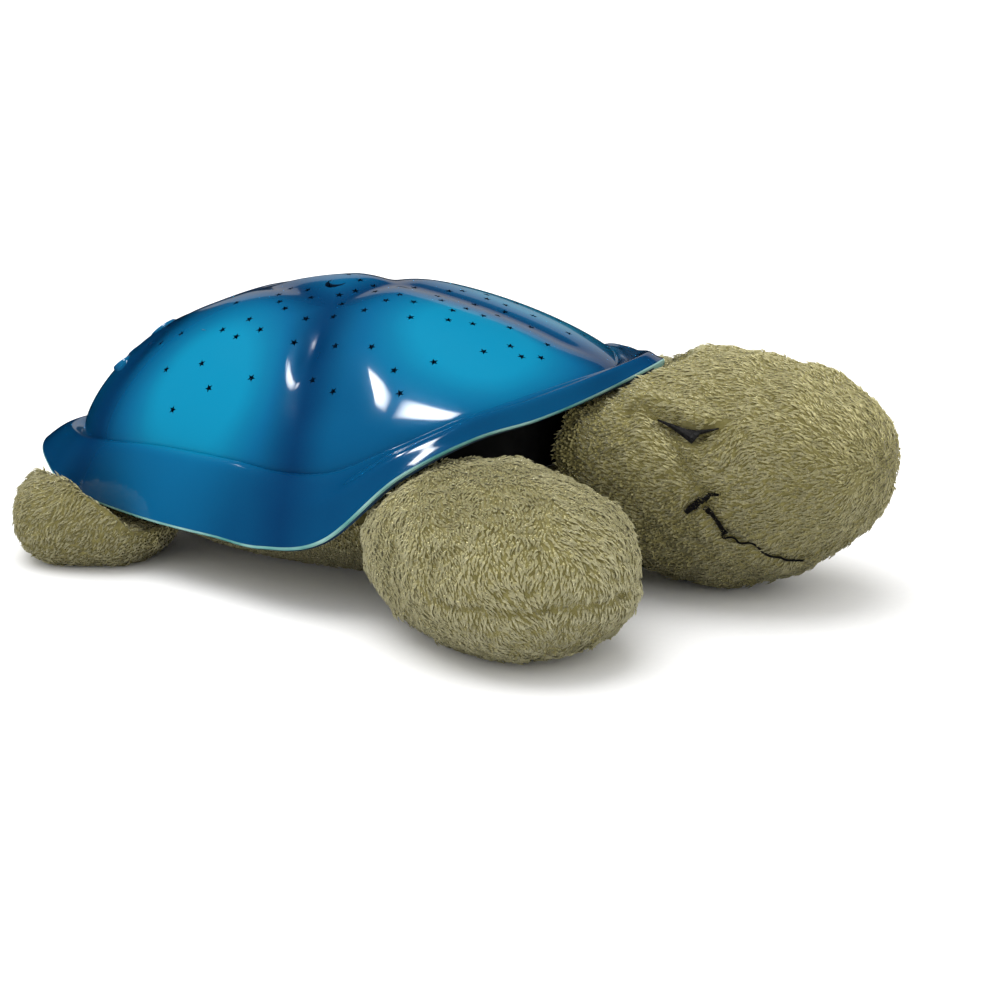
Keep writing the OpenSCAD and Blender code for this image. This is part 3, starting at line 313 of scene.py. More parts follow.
def nickel_plated_steel():
    """Rolled and plated steel: a warm grey mirror broken by fine drawing lines."""
    material, tree, shader = new_material("nickel plated steel", Metallic=1)
    lines = add_node(tree, "ShaderNodeMapping", links={"Vector": object_place(tree)},
                     Scale=(1, 1, 8)).outputs[0]
    for socket, scale, dark, pale in (("Base Color", 300, "#a9a59d", "#cfccc6"),
                                      ("Roughness", 700, "#6a6a6a", "#9a9a9a")):
        paint(tree, shader, noise(tree, scale, 2, lines), ((0.3, dark), (0.7, pale)), socket)
    bump(tree, shader, noise(tree, 1500, 1, lines), 0.15, 0.00004)
    return material


def printed_cell_sleeve():
    """Shrunk plastic sleeve on a steel cell can: ochre print with a dark band and bare ends."""
    material, tree, shader = new_material("printed cell sleeve", Roughness=0.3, Metallic=0.35,
                                          Coat_Weight=0.6)
    paint_bands(tree, shader, "X", CELL_ENDS, ((0, "#b9bab8"), (0.07, "#b8862b"), (0.42, "#26241f"),
                                               (0.56, "#b8862b"), (0.94, "#b9bab8")))
    bump(tree, shader, noise(tree, 500, 2), 0.1, 0.00005)
    return material


def solder_masked_board():
    """Glass-epoxy board under green solder mask: copper tracks show as paler raised lines."""
    material, tree, shader = new_material("green solder masked board", Roughness=0.32)
    tracks = add_node(tree, "ShaderNodeTexBrick", {"offset": 0.35}, {"Vector": object_place(tree)}, Scale=1,
                      Mortar_Size=0.00025, Brick_Width=0.009, Row_Height=0.0024, Color1=linear("#1c6a3c"),
                      Color2=linear("#1a6338"), Mortar=linear("#3b9660"))
    tree.links.new(tracks.outputs["Color"], shader.inputs["Base Color"])
    bump(tree, shader, tracks.outputs["Fac"], 0.4, 0.00006)
    return material


def moulded_epoxy():
    """Black moulding compound of a chip or a switch: matt with a fine pitted grain."""
    return mottled("black epoxy moulding", (900, 3), "#141415", "#242425", relief=(2600, 1, 0.4, 0.00008),
                   Roughness=0.6)


def capacitor_sleeve():
    """Aluminium can in a dark sleeve: bare scored metal shows only at its top."""
    material, tree, shader = new_material("sleeved aluminium can", Roughness=0.35)
    for socket, sleeve, bare in (("Base Color", "#20242e", "#c3c6c8"), ("Metallic", "#000000", "#ffffff")):
        paint_bands(tree, shader, "Z", CAN_ENDS, ((0, sleeve), (0.93, bare)), socket)
    bump(tree, shader, noise(tree, 900, 2), 0.1, 0.00005)
    return material


def banded_resistor_lacquer():
    """Beige lacquer with painted bands, glossy and slightly lumpy from dipping."""
    material, tree, shader = new_material("banded resistor lacquer", Roughness=0.25)
    paint_bands(tree, shader, "X", RESISTOR_ENDS, (
        (0, "#c9b184"), (0.24, "#8a4a24"), (0.33, "#c9b184"), (0.42, "#1d1c1b"), (0.51, "#c9b184"),
        (0.6, "#b3402c"), (0.69, "#c9b184")))
    bump(tree, shader, noise(tree, 700, 2), 0.2, 0.0001)
    return material


def tinted_lamp_epoxy(tint, pale):
    """Cast tinted epoxy lens: clear and glossy, its tint drifting at random between a deep and a pale shade.
    """
    return mottled("tinted lamp epoxy " + tint[1:], (220, 1), tint, pale, (0.2, 0.8), Roughness=0.06,
                   IOR=1.53, Transmission_Weight=0.8)


def wire_pvc(tint, pale):
    """Extruded PVC insulation over fine strands: soft gloss with a faint ripple."""
    return mottled("PVC insulation " + tint[1:], (240, 2), tint, pale, relief=(1100, 1, 0.2, 0.00008),
                   Roughness=0.38)


def twill(name, dark, pale):
    """Twill-woven polyester: fine diagonal ribs, drawn about 0.9 mm apart so that they show, with a dry
    matt face."""
    material, tree, shader = new_material(name, Roughness=0.9, Sheen_Weight=0.25)
    ribs = add_node(tree, "ShaderNodeTexWave", {"bands_direction": "DIAGONAL"},
                    {"Vector": object_place(tree)}, Scale=200, Distortion=0.6, Detail=1).outputs["Fac"]
    # Painted shade between the ribs, darker where the bump sinks, with a random mottle over it
    rib_shade_and_mottle = weighted(tree, noise(tree, 120, 3), 0.8, ribs)
    paint(tree, shader, rib_shade_and_mottle, ((0.25, dark), (1.0, pale)))
    bump(tree, shader, ribs, 0.6, 0.00025)
    return material


def sewing_thread():
    """Spun polyester sewing thread, dull, with a twisted surface."""
    return mottled("olive sewing thread", (2600, 2), "#5b5734", "#8a8459", relief=(2600, 1, 0.5, 0.0001),
                   Roughness=0.8)


def satin_thread():
    """Rayon embroidery thread, nearly black: a fine sheen along each stitch; on the chin seam, painted shade.
    """
    return mottled("black rayon thread", (2500, 2), "#060505", "#12100f", Roughness=0.5, Anisotropic=0.5,
                   Specular_IOR_Level=0.25, Sheen_Weight=0.04)


def button_abs():
    """Gloss ABS cap of a button, moulded in the shell's own blue so that it melts into the spray."""
    return mottled("blue gloss button ABS", (180, 2), "#05507c", "#066a97", relief=(900, 2, 0.1, 0.00006),
                   Roughness=0.2, IOR=1.5, Coat_Weight=0.6, Coat_Roughness=0.05)


def lens_dot(tint, pale):
    """Tinted translucent dot set into a button: it tells the buttons apart."""
    return mottled("tinted button dot " + tint[1:], (700, 1), tint, pale, Roughness=0.15,
                   Subsurface_Weight=0.3, Subsurface_Radius=(0.001, 0.001, 0.001))


# ---------- meshes ----------

def as_mesh(name, bm):
    """Turns a bmesh into a mesh."""
    mesh = bpy.data.meshes.new(name)
    bm.to_mesh(mesh)
    bm.free()
    return mesh


def new_object(name, data, *materials):
    """A shown object at the origin from a bmesh, a mesh, a light or a camera."""
    if isinstance(data, bmesh.types.BMesh):
        data = as_mesh(name, data)
    for material in materials:
        data.materials.append(material)
    obj = bpy.data.objects.new(name, data)
    bpy.context.scene.collection.objects.link(obj)
    return obj


def smooth(mesh, degrees):
    """Shades smooth over every edge that turns less than this."""
    mesh.shade_smooth()
    mesh.set_sharp_from_angle(angle=math.radians(degrees))


def weld(bm):
    """Merges corners that lie on the same place."""
    bmesh.ops.remove_doubles(bm, verts=bm.verts, dist=0.00001)


def settle_modifiers(obj):
    """Applies an object's modifiers to its mesh."""
    bpy.context.view_layer.update()
    graph = bpy.context.evaluated_depsgraph_get()
    mesh = bpy.data.meshes.new_from_object(obj.evaluated_get(graph), depsgraph=graph)
    obj.modifiers.clear()
    old, obj.data = obj.data, mesh
    mesh.name = obj.name
    bpy.data.meshes.remove(old)


def shift(x, y, z):
    """Matrix of a move in millimetres."""
    return Matrix.Translation((x * MM, y * MM, z * MM))


def rows(items, key):
    """A vector of each vertex or face."""
    flat = np.empty(len(items) * 3, np.float32)
    items.foreach_get(key, flat)
    return flat.reshape(-1, 3).astype(float)


def positions(mesh):
    return rows(mesh.vertices, "co")


def set_positions(mesh, points):
    mesh.vertices.foreach_set("co", points.astype(np.float32).ravel())
    mesh.update()


def store(mesh, name, values, kind="FLOAT"):
    """Keeps a number or vector on each vertex."""
    field = mesh.attributes.get(name) or mesh.attributes.new(name, kind, "POINT")
    field.data.foreach_set("vector" if kind == "FLOAT_VECTOR" else "value",
                           np.asarray(values, np.float32).ravel())


# ---------- shell form ----------

def ease(t):
    t = np.clip(t, 0, 1)
    return t * t * (3 - 2 * t)


def along(stations, degrees):
    """Catmull-Rom curve through the stations, the same to both sides."""
    values = np.asarray(stations, float)
    last = len(values) - 1
    turn = np.abs((np.asarray(degrees) + 180) % 360 - 180) / 180 * last
    i = np.minimum(turn.astype(int), last - 1)
    t = turn - i
    after = np.where(i + 2 > last, 2 * last - i - 2, i + 2)
    p0, p1, p2, p3 = values[np.abs(i - 1)], values[i], values[i + 1], values[after]
    return p1 + t * (p2 - p0 + t * (2 * p0 - 5 * p1 + 4 * p2 - p3 + t * (3 * p1 - p0 - 3 * p2 + p3))) / 2


def border_gap(x, y):
    """Distance in plan to the nearest border between two scutes, and the number of the own scute."""
    centres = np.asarray(SCUTES, float)
    pull = (x[:, None] - centres[:, 0]) ** 2 + (y[:, None] - centres[:, 1]) ** 2 + centres[:, 2]
    own = pull.argmin(1)
    apart = np.hypot(centres[own, 0][:, None] - centres[:, 0], centres[own, 1][:, None] - centres[:, 1])
    gap = (pull - pull.min(1)[:, None]) / (2 * np.maximum(apart, 1e-6))
    gap[np.arange(len(own)), own] = np.inf
    return gap.min(1), own


def shell_scales(settings):
    sweep = np.arange(0, 181, 3)
    wide = 2 * (along(RIM_R, sweep) * np.sin(np.radians(sweep))).max()
    return settings.length / MM / (RIM_R[0] + RIM_R[-1]), settings.width / MM / wide


def valley_depth(settings, x, y, w):
    """Valleys between the scutes run out towards the crease and round the buttons."""
    gap, _ = border_gap(x, y)
    pad = np.hypot(x - BUTTON_X, y)
    flank = ease((np.abs(y) - 30) / 55)
    depth = settings.valley / MM * (0.5 + 0.5 * flank) * np.exp(-np.hypot(gap, 3) / (8 + 11 * flank))
    at_x, at_y, wide_x, wide_y, deep = DIMPLE
    dimple = deep * np.exp(-((x - at_x) / wide_x) ** 2 - ((np.abs(y) - at_y) / wide_y) ** 2)
    return (depth + dimple) * ease((1 - w) / 0.22) * (1 - np.exp(-pad ** 2 / (2 * 20 ** 2)))


def shell_point(settings, degrees, w):
    """Points of the outer face in millimetres: w is 0 at the crown, 1 at the crease and 2 at the rim."""
    scale_x, scale_y = shell_scales(settings)
    crease_r, crease_z = along(CREASE_R, degrees), along(CREASE_Z, degrees)
    rim_r, rim_z = along(RIM_R, degrees), along(RIM_Z, degrees)
    dome, skirt = np.clip(w, 0, 1), np.clip(w - 1, 0, 1)
    radius = np.where(w <= 1, crease_r * dome, crease_r + (rim_r - crease_r) * skirt)
    turn = np.radians(degrees)
    x, y = radius * np.cos(turn), radius * np.sin(turn)
    crown, shoulder = 1.85 - 0.15 * np.cos(turn), 0.76 + 0.1 * np.cos(turn)
    dome_z = (crease_z + (settings.top / MM - crease_z) * (1 - dome ** crown) ** shoulder
              - valley_depth(settings, x, y, w))
    bead = ease((np.cos(turn) + 0.1) / 0.5) * sum(
        high * np.exp(-((skirt - at) / wide) ** 2) for high, at, wide in SKIRT_BEAD)
    skirt_z = crease_z + (rim_z - crease_z) * skirt ** 1.4 + 3 * np.sin(np.pi * skirt ** 0.8) + bead
    return np.stack([x * scale_x - SHELL_BACK, y * scale_y, np.where(w <= 1, dome_z, skirt_z)], 1)


def shell_station(settings, x, y):
    """Angle and w of places in plan, in millimetres of the whole turtle."""
    scale_x, scale_y = shell_scales(settings)
    qx, qy = (x + SHELL_BACK) / scale_x, y / scale_y
    degrees = np.degrees(np.arctan2(qy, qx))
    r, crease, rim = np.hypot(qx, qy), along(CREASE_R, degrees), along(RIM_R, degrees)
    return degrees, np.where(r <= crease, r / crease, np.minimum(2, 1 + (r - crease) / (rim - crease)))


def shell_height(settings, x, y):
    """Height of the outer face over one place in plan, in millimetres."""
    return shell_point(settings, *shell_station(settings, np.array([float(x)]), np.array([float(y)])))[0, 2]


def shell_normal(settings, degrees, w):
    """Outward directions of the outer face."""
    around = shell_point(settings, degrees + 0.5, w) - shell_point(settings, degrees - 0.5, w)
    down = shell_point(settings, degrees, np.minimum(w + 0.005, 2)) - shell_point(
        settings, degrees, np.maximum(w - 0.005, 0.001))
    cross = np.cross(down, around)
    return cross / np.linalg.norm(cross, axis=1)[:, None]


def place_on_shell(settings, x, y):
    """Matrix that puts a piece on the shell over a place in plan, square to the surface."""
    at = np.array([[x, y]], float)
    degrees, w = shell_station(settings, at[:, 0], at[:, 1])
    point = shell_point(settings, degrees, w)[0]
    on_crown = math.hypot(x + SHELL_BACK, y) <= 1
    up = Vector((0, 0, 1) if on_crown else shell_normal(settings, degrees, w)[0])
    turn = up.to_track_quat("Z", "X").to_matrix().to_4x4()
    return shift(*point) @ turn


def button_matrix(settings, across=(0, 0)):
    """Matrix of the tilted plane that carries the buttons, with +Z out of the shell."""
    scale_x, _ = shell_scales(settings)
    x = BUTTON_X * scale_x - SHELL_BACK
    tilt = Matrix.Rotation(math.radians(-BUTTON_TILT), 4, "Y")
    return shift(x, 0, shell_height(settings, x, 0)) @ tilt @ shift(*across[:2], 0)


def skin_height(settings, across):
    """Height of the outer face over the button plane at a place on it, in millimetres."""
    plane = button_matrix(settings)
    height = 0.0
    for _ in range(12):
        x, y, z = (plane @ (Vector((*across, height)) * MM)) / MM
        height -= 0.7 * (z - shell_height(settings, x, y)) * math.cos(math.radians(BUTTON_TILT))
    return height


def shell_cutters(settings):
    """One mesh of all the holes: stars, the crescent and the button bores."""
    cutters = bmesh.new()
    scale_x, scale_y = shell_scales(settings)
    reach = settings.wall * 2.2
    hollow, bite = settings.moon * 0.22, settings.moon * 0.43
    for x, y in (*STARS, *((x, -y) for x, y in STARS), *MIDDLE_STARS):
        place = place_on_shell(settings, x * scale_x - SHELL_BACK, y * scale_y)
        spin = Matrix.Rotation(math.radians(STAR_TURN * (x + abs(y))), 4, "Z")
        rim = bmesh.ops.create_circle(cutters, segments=10, radius=settings.star / 2)["verts"]
        for k, corner in enumerate(rim):
            corner.co *= STAR_WAIST if k % 2 else 1
        raise_prism(cutters, rim, place @ spin, reach)
    moon = bmesh.ops.create_circle(cutters, segments=40, radius=settings.moon / 2)["verts"]
    for corner in moon:
        if math.hypot(corner.co.x - hollow, corner.co.y) < bite:
            side = corner.co.y / (settings.moon / 2)
            corner.co.x = hollow - math.sqrt(max(0, bite ** 2 - (bite * side) ** 2)) * 0.98
    raise_prism(cutters, moon, place_on_shell(settings, MOON[0] * scale_x - SHELL_BACK, MOON[1] * scale_y),
                reach)
    for across in BUTTONS.values():
        rim = bmesh.ops.create_circle(cutters, segments=48, radius=(across[2] / 2 + CAP_PLAY) * MM)["verts"]
        raise_prism(cutters, rim, button_matrix(settings, across), BOARD_DROP * MM)
    bmesh.ops.recalc_face_normals(cutters, faces=cutters.faces)
    return new_object("shell_holes", cutters)


def raise_prism(bm, outline, matrix, reach):
    """Turns an outline into a closed prism from -reach to +reach along its own Z."""
    bmesh.ops.translate(bm, vec=(0, 0, -reach), verts=outline)
    face = bm.faces.new(outline)
    risen = bmesh.ops.extrude_face_region(bm, geom=[face])["geom"]
    top = [v for v in risen if isinstance(v, bmesh.types.BMVert)]
    bmesh.ops.translate(bm, vec=(0, 0, 2 * reach), verts=top)
    bmesh.ops.transform(bm, matrix=matrix, verts=outline + top)


def shell_bosses(settings):
    """Bosses under the dome that stand on the tray's posts, and two for the button board."""
    upright = []
    for x, y in POSTS:
        top = shell_height(settings, x - SHELL_BACK, y) - 2
        upright.append((shift(x - SHELL_BACK, y, 0), 3.5, POST_TOP, top))
    for across in BOARD_BOSSES:
        upright.append((button_matrix(settings, across), 3, -BOARD_DROP, skin_height(settings, across) - 1.2))
    bosses = bmesh.new()
    for place, radius, low, top in upright:
        bmesh.ops.create_cone(bosses, cap_ends=True, segments=32, radius1=radius * MM, radius2=radius * MM,
                              depth=(top - low) * MM, matrix=place @ shift(0, 0, (top + low) / 2))
    return new_object("shell_bosses", bosses)


def shell_skin(settings, across=200):
    """Square grid laid round onto the shell: the crown is in its middle and the rim is its border."""
    skin = bmesh.new()
    bmesh.ops.create_grid(skin, x_segments=across, y_segments=across, size=1)
    mesh = as_mesh("shell", skin)
    flat = positions(mesh)
    u, v = flat[:, 0], flat[:, 1]
    ring = np.maximum(np.abs(u), np.abs(v))
    wide = np.abs(u) >= np.abs(v)
    steep = np.where(wide, v / np.where(u == 0, 1, u), u / np.where(v == 0, 1, v)) * np.pi / 4
    turn = np.where(wide, steep, np.pi / 2 - steep)
    turn = np.where((wide & (u < 0)) | (~wide & (v < 0)), turn + np.pi, turn)
    split = 0.74  # share of the grid that the dome takes
    w = np.where(ring <= split, np.sin(np.pi / 2 * np.clip(ring / split, 0, 1)),
                 1 + (ring - split) / (1 - split))
    set_positions(mesh, shell_point(settings, np.degrees(turn), w) * MM)
    return mesh


# Numbers of the shell's finishes
SPRAYED_WITH_PAINTED_GLOW, SHADED, EDGE = 0, 1, 2


class TURTLE_OT_shell(bpy.types.Operator):
    """Hard shell with its valleys, rolled bead, star holes and crescent"""
    bl_idname = "turtle.shell"
    bl_label = "Shell"

    def execute(self, context):
        settings = context.scene.turtle_shell
        shell = new_object("shell_moulding", shell_skin(settings), shell_abs_with_painted_glow(), shaded_inside_abs(),
                           bare_edge_abs())
        wall = bmesh.new()
        wall.from_mesh(shell.data)
        bmesh.ops.recalc_face_normals(wall, faces=wall.faces)
        if sum(f.normal.z for f in wall.faces) < 0:
            bmesh.ops.reverse_faces(wall, faces=wall.faces)
        outer = set(wall.faces)
        rim = [edge for edge in wall.edges if edge.is_boundary]
        bmesh.ops.solidify(wall, geom=list(outer), thickness=settings.wall)
        bmesh.ops.bevel(wall, geom=rim, affect="EDGES", offset=settings.wall * 0.42, segments=2, profile=0.5,
                        material=EDGE)
        wall.to_mesh(shell.data)
        wall.free()
        bosses, holes = shell_bosses(settings), shell_cutters(settings)
        for tool, operation in ((bosses, "UNION"), (holes, "DIFFERENCE")):
            cut = shell.modifiers.new(operation.lower(), "BOOLEAN")
            cut.object, cut.operation, cut.solver = tool, operation, "MANIFOLD"
        settle_modifiers(shell)
        for tool in (bosses, holes):
            bpy.data.meshes.remove(tool.data)
        finish_shell(settings, shell)
        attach(shell, TURTLE)
        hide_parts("shell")
        return {"FINISHED"}


def finish_shell(settings, shell):
    """Paints light and shade over the blue spray, gives each face its finish and keeps the hole edges crisp.
    """
    mesh = shell.data
    smooth(mesh, 38)
    place = positions(mesh) / MM
    _, w = shell_station(settings, place[:, 0], place[:, 1])
    scale_x, scale_y = shell_scales(settings)
    x, y = (place[:, 0] + SHELL_BACK) / scale_x, place[:, 1] / scale_y
    gap, own = border_gap(x, y)
    middle = np.array(SCUTE_PAINTED_GLOW)[own]
    spread = np.hypot((x - middle[:, 0]) / middle[:, 2], (np.abs(y) - middle[:, 1]) / middle[:, 3])
    # Painted glow of light through the plastic, brightest in each scute's middle and fading to painted shade
    # in the valleys
    glow = middle[:, 4] * ease((gap + 2) / 20) * (1 - 0.72 * ease((spread - 0.35) / 1.15))
    # Painted shade down the skirt: the glow dims towards the rim
    glow *= 1 - 0.55 * ease((w - 0.86) / 0.5)
    store(mesh, "glow", glow)
    middles = rows(mesh.polygons, "center") / MM
    degrees, w = shell_station(settings, middles[:, 0], middles[:, 1])
    out = shell_normal(settings, degrees, np.clip(w, 0.01, 1.999))
    depth = ((shell_point(settings, degrees, w) - middles) * out).sum(1)
    facing = (rows(mesh.polygons, "normal") * out).sum(1)
    given = np.empty(len(mesh.polygons), np.int32)
    mesh.polygons.foreach_get("material_index", given)
    on_skin = (depth < 1) & (facing > 0.5)
    on_edge = (given == EDGE) | ((w > 1.985) & (np.abs(facing) < 0.5))
    finish = np.where(on_edge, EDGE, np.where(on_skin, SPRAYED_WITH_PAINTED_GLOW, SHADED))
    mesh.polygons.foreach_set("material_index", finish.astype(np.int32))
    mesh.update()


# ---------- plush form ----------

# Cushions: middle, half sizes along, across, up and down, turn about Z in degrees, roundness, narrowing
# towards the underside, and the way their pile is brushed
CUSHIONS = {
    "head_plush": ((120.5, 0, 55), (72, 54, 40, 56), 0, 2.15, 0.22, (-1, 0, -0.15)),
    "front_left_flipper": ((66.5, 101, 31), (65, 45, 35, 35), 38, 2.35, 0.13, (0.5, 0.5, -1)),
    "front_right_flipper": ((66.5, -101, 31), (65, 45, 35, 35), -38, 2.35, 0.13, (0.5, -0.5, -1)),
    "rear_left_flipper": ((-130.5, 64, 18), (35, 34, 22, 22), -20, 2.35, 0, (-0.6, 0.6, -0.6)),
    "rear_right_flipper": ((-130.5, -64, 18), (35, 34, 22, 22), 20, 2.35, 0, (-0.6, -0.6, -0.6)),
}
# Unevenness of the stuffing: height, wavelength, seed and number of waves
LUMPS = ((0.9, 34, 3, 7), (0.55, 12, 5, 7), (0.42, 5.5, 17, 14))
# Radius over which a cushion bends away under the shell
SOFT_BEND = 5
# The torso's side, as height against swell, and its height
TORSO_SIDE = ((0, 0), (0.07, 0.3), (0.24, 0.62), (0.46, 0.87), (0.7, 1))
TORSO_HEIGHT = 46
# Sewn seam from the mouth round under the chin, in millimetres; the black thread laid in it is painted shade
# along the seam's crease
CHIN_SEAM = ((138.5, -46.4, 32), (142.4, -44.5, 30.1), (146.6, -42.3, 28), (150.3, -38.3, 24.9),
             (154.4, -34.4, 22.3), (158.9, -29, 20.4), (163.2, -24.2, 19.3))
# Lines on the right half of the plush, in millimetres: points, depth and width of the groove
FOLDS = {
    "head_plush": (
        (((110, -46.2, 76.4), (116, -47.4, 75), (122, -48.6, 73.6), (128, -48.6, 73)), 5.5, 3),
        (((96.3, -43.1, 77), (98.2, -41.5, 79.2), (100.8, -40.9, 80.5), (105.6, -43.9, 78.4),
          (110, -46.2, 76.4)), 3.2, 1.9),
        (((129.2, -47.8, 74.2), (131.9, -47.4, 74.6), (134.5, -47, 75)), 3, 2),
        (((114.4, -48.1, 73.9), (118.3, -50.8, 69.7), (120.2, -52.6, 64.8), (123.1, -53.6, 57.5),
          (125.5, -53.6, 53.8), (129.4, -53.1, 51.3)), 3.4, 2.8),
        (((123.6, -51.9, 42), (129.4, -52.7, 47.2), (136.6, -52.4, 50.5)), 1.6, 2.6),
        (((131.3, -52.3, 44.5), (135.5, -50, 38.8), (138.5, -46.4, 32)), 1.8, 2.4),
        (CHIN_SEAM, 3.2, 2),
        (((163.2, -24.2, 19.3), (169, -22.6, 22.8), (174.6, -21.4, 26.8), (179, -19.1, 30.3),
          (183.2, -17.6, 35.2), (186.7, -16.8, 41)), 1.4, 3),
    ),
    "front_right_flipper": (
        (((58, -149, 28), (68, -153, 28), (77, -156, 28), (96, -156, 29), (106, -152, 30), (114, -144, 31),
          (122, -134, 30.5), (126, -124, 30)), 1.8, 2.2),
    ),
    "rear_right_flipper": (),
}
# Soft roll of the upper eyelid
EYELID = ((100.2, -39.2, 81.6), (104.9, -39.7, 82.2), (110.2, -41, 81.8), (117.5, -43.2, 80.2),
          (124.6, -45, 78.1), (131.4, -46.3, 76.3))
# Embroidery on the right cheek: upper and lower edge of the closed eye, then the two strokes of the mouth
EYE = (((109.6, -45.8, 76.2), (115.5, -46.4, 75.1), (121, -47, 73.9), (125.5, -47.6, 73.8),
        (130, -47.8, 74.6), (134.5, -47.6, 75.6)),
       ((109.6, -45.9, 75.9), (115.8, -47, 73.5), (121, -48.8, 70.9), (124.9, -50.8, 69.3),
        (127.4, -49.4, 72.7), (134.5, -47.7, 75.3)))
MOUTH = (((123.6, -51.9, 42), (126.2, -52.5, 44.2), (129.4, -52.7, 47.2), (132.6, -52.8, 50),
          (134.9, -52.7, 50.8), (136.6, -52.4, 50.5)),
         ((131.3, -52.3, 44.5), (133.5, -51.4, 42.2), (135.5, -50, 38.8), (137.1, -48.5, 35.4),
          (138.5, -46.4, 32)))
EYE_STITCHES = 64
MOUTH_STITCHES = 60
# How far the thread stands off the backing
THREAD_LIFT = 1.7
# Lines that the pile keeps clear of, and how far
BARE_LINES = ((EYE[0], 2.1), (EYE[1], 2.1), (MOUTH[0], 1.7), (MOUTH[1], 1.6), (CHIN_SEAM, 1.1))
# Locks: most to a square metre, how they stray in turn and lean, and their least and greatest size
LOCK_DENSITY = 900000
LOCK_STRAY = ((-0.3, -0.12, -0.28), (0.3, 0.1, 0.28))
LOCK_SIZES = (0.65, 1.2)
# Way that the pile of the torso is brushed, and the heights in metres between which it grows
TORSO_BRUSH = (0.2, 0, -1)
TORSO_PILE = (0.0004, 0.034)
# Play between a cushion and the shell's wall, and how steeply and how far past the rim the room opens
SHELL_PLAY = 0.9
ROOM_SLOPE = 1.6
ROOM_START = 4


def wavy(points, size, seed, waves=7):
    """Smooth unevenness from -1 to 1; size is its wavelength in millimetres."""
    rng = np.random.default_rng(seed)
    ways = rng.normal(size=(waves, 3))
    ways *= 2 * np.pi / size * rng.uniform(0.7, 1.5, (waves, 1)) / np.linalg.norm(ways, axis=1)[:, None]
    return np.sin(points @ ways.T + rng.uniform(0, 6.3, waves)).sum(1) / waves ** 0.5 / 1.5


def line_distance(points, line):
    """Distance of points to a line of several legs."""
    best = np.full(len(points), 1e9)
    for start, end in zip(np.asarray(line[:-1], float), np.asarray(line[1:], float)):
        leg = end - start
        t = np.clip((points - start) @ leg / (leg @ leg), 0, 1)
        best = np.minimum(best, np.linalg.norm(points - start - t[:, None] * leg, axis=1))
    return best


def foot_outline(degrees):
    """Outline of the tray's foot in millimetres round the shell's middle."""
    c, s = np.cos(np.radians(degrees)), np.sin(np.radians(degrees))
    return np.stack([75 * np.sign(c) * np.abs(c) ** 0.8, (36 + 8 * c) * np.sign(s) * np.abs(s) ** 0.8], 1)


def torso_outline(degrees, share):
    """Outline of the torso cushion in millimetres round the shell's middle, at a share of its swell."""
    c, s = np.cos(np.radians(degrees)), np.sin(np.radians(degrees))
    foot = foot_outline(degrees)
    foot *= 1 + 0.3 / np.linalg.norm(foot, axis=1)[:, None]
    return foot + (np.stack([105 * c, 88 * s], 1) - foot) * share[:, None]


def pressed(points):
    """A cushion gives way to the torso, to the shell above it and to the floor."""
    points = below_shell(points + (SHELL_BACK, 0, 0))
    share = np.interp(np.minimum(points[:, 2] / TORSO_HEIGHT, 0.7), *zip(*TORSO_SIDE))
    way = np.degrees(np.arctan2(points[:, 1], points[:, 0]))
    spoke = way.copy()
    for _ in range(5):
        outline = torso_outline(spoke, share)
        spoke += (way - np.degrees(np.arctan2(outline[:, 1], outline[:, 0])) + 180) % 360 - 180
    need = np.linalg.norm(torso_outline(spoke, share), axis=1) + 0.8
    r = np.hypot(points[:, 0], points[:, 1])
    points[:, :2] *= np.maximum(1, need / np.maximum(r, 1))[:, None]
    return below_shell(points) - (SHELL_BACK, 0, 0)


def below_shell(points):
    """Points about the shell's middle, brought down below the shell with a smooth bend."""
    settings = bpy.context.scene.turtle_shell
    scale_x, scale_y = shell_scales(settings)
    x, y = points[:, 0] / scale_x, points[:, 1] / scale_y
    degrees = np.degrees(np.arctan2(y, x))
    past = np.hypot(x, y) - along(RIM_R, degrees)
    room = (np.minimum(along(RIM_Z, degrees), along(CREASE_Z, degrees)) - settings.wall / MM - SHELL_PLAY
            + ROOM_SLOPE * np.maximum(0, past - ROOM_START))
    z = np.minimum(points[:, 2], room)
    z = z - np.maximum(0, SOFT_BEND - np.abs(points[:, 2] - room)) ** 2 / (4 * SOFT_BEND)
    return np.column_stack((points[:, :2], np.maximum(z, 0)))


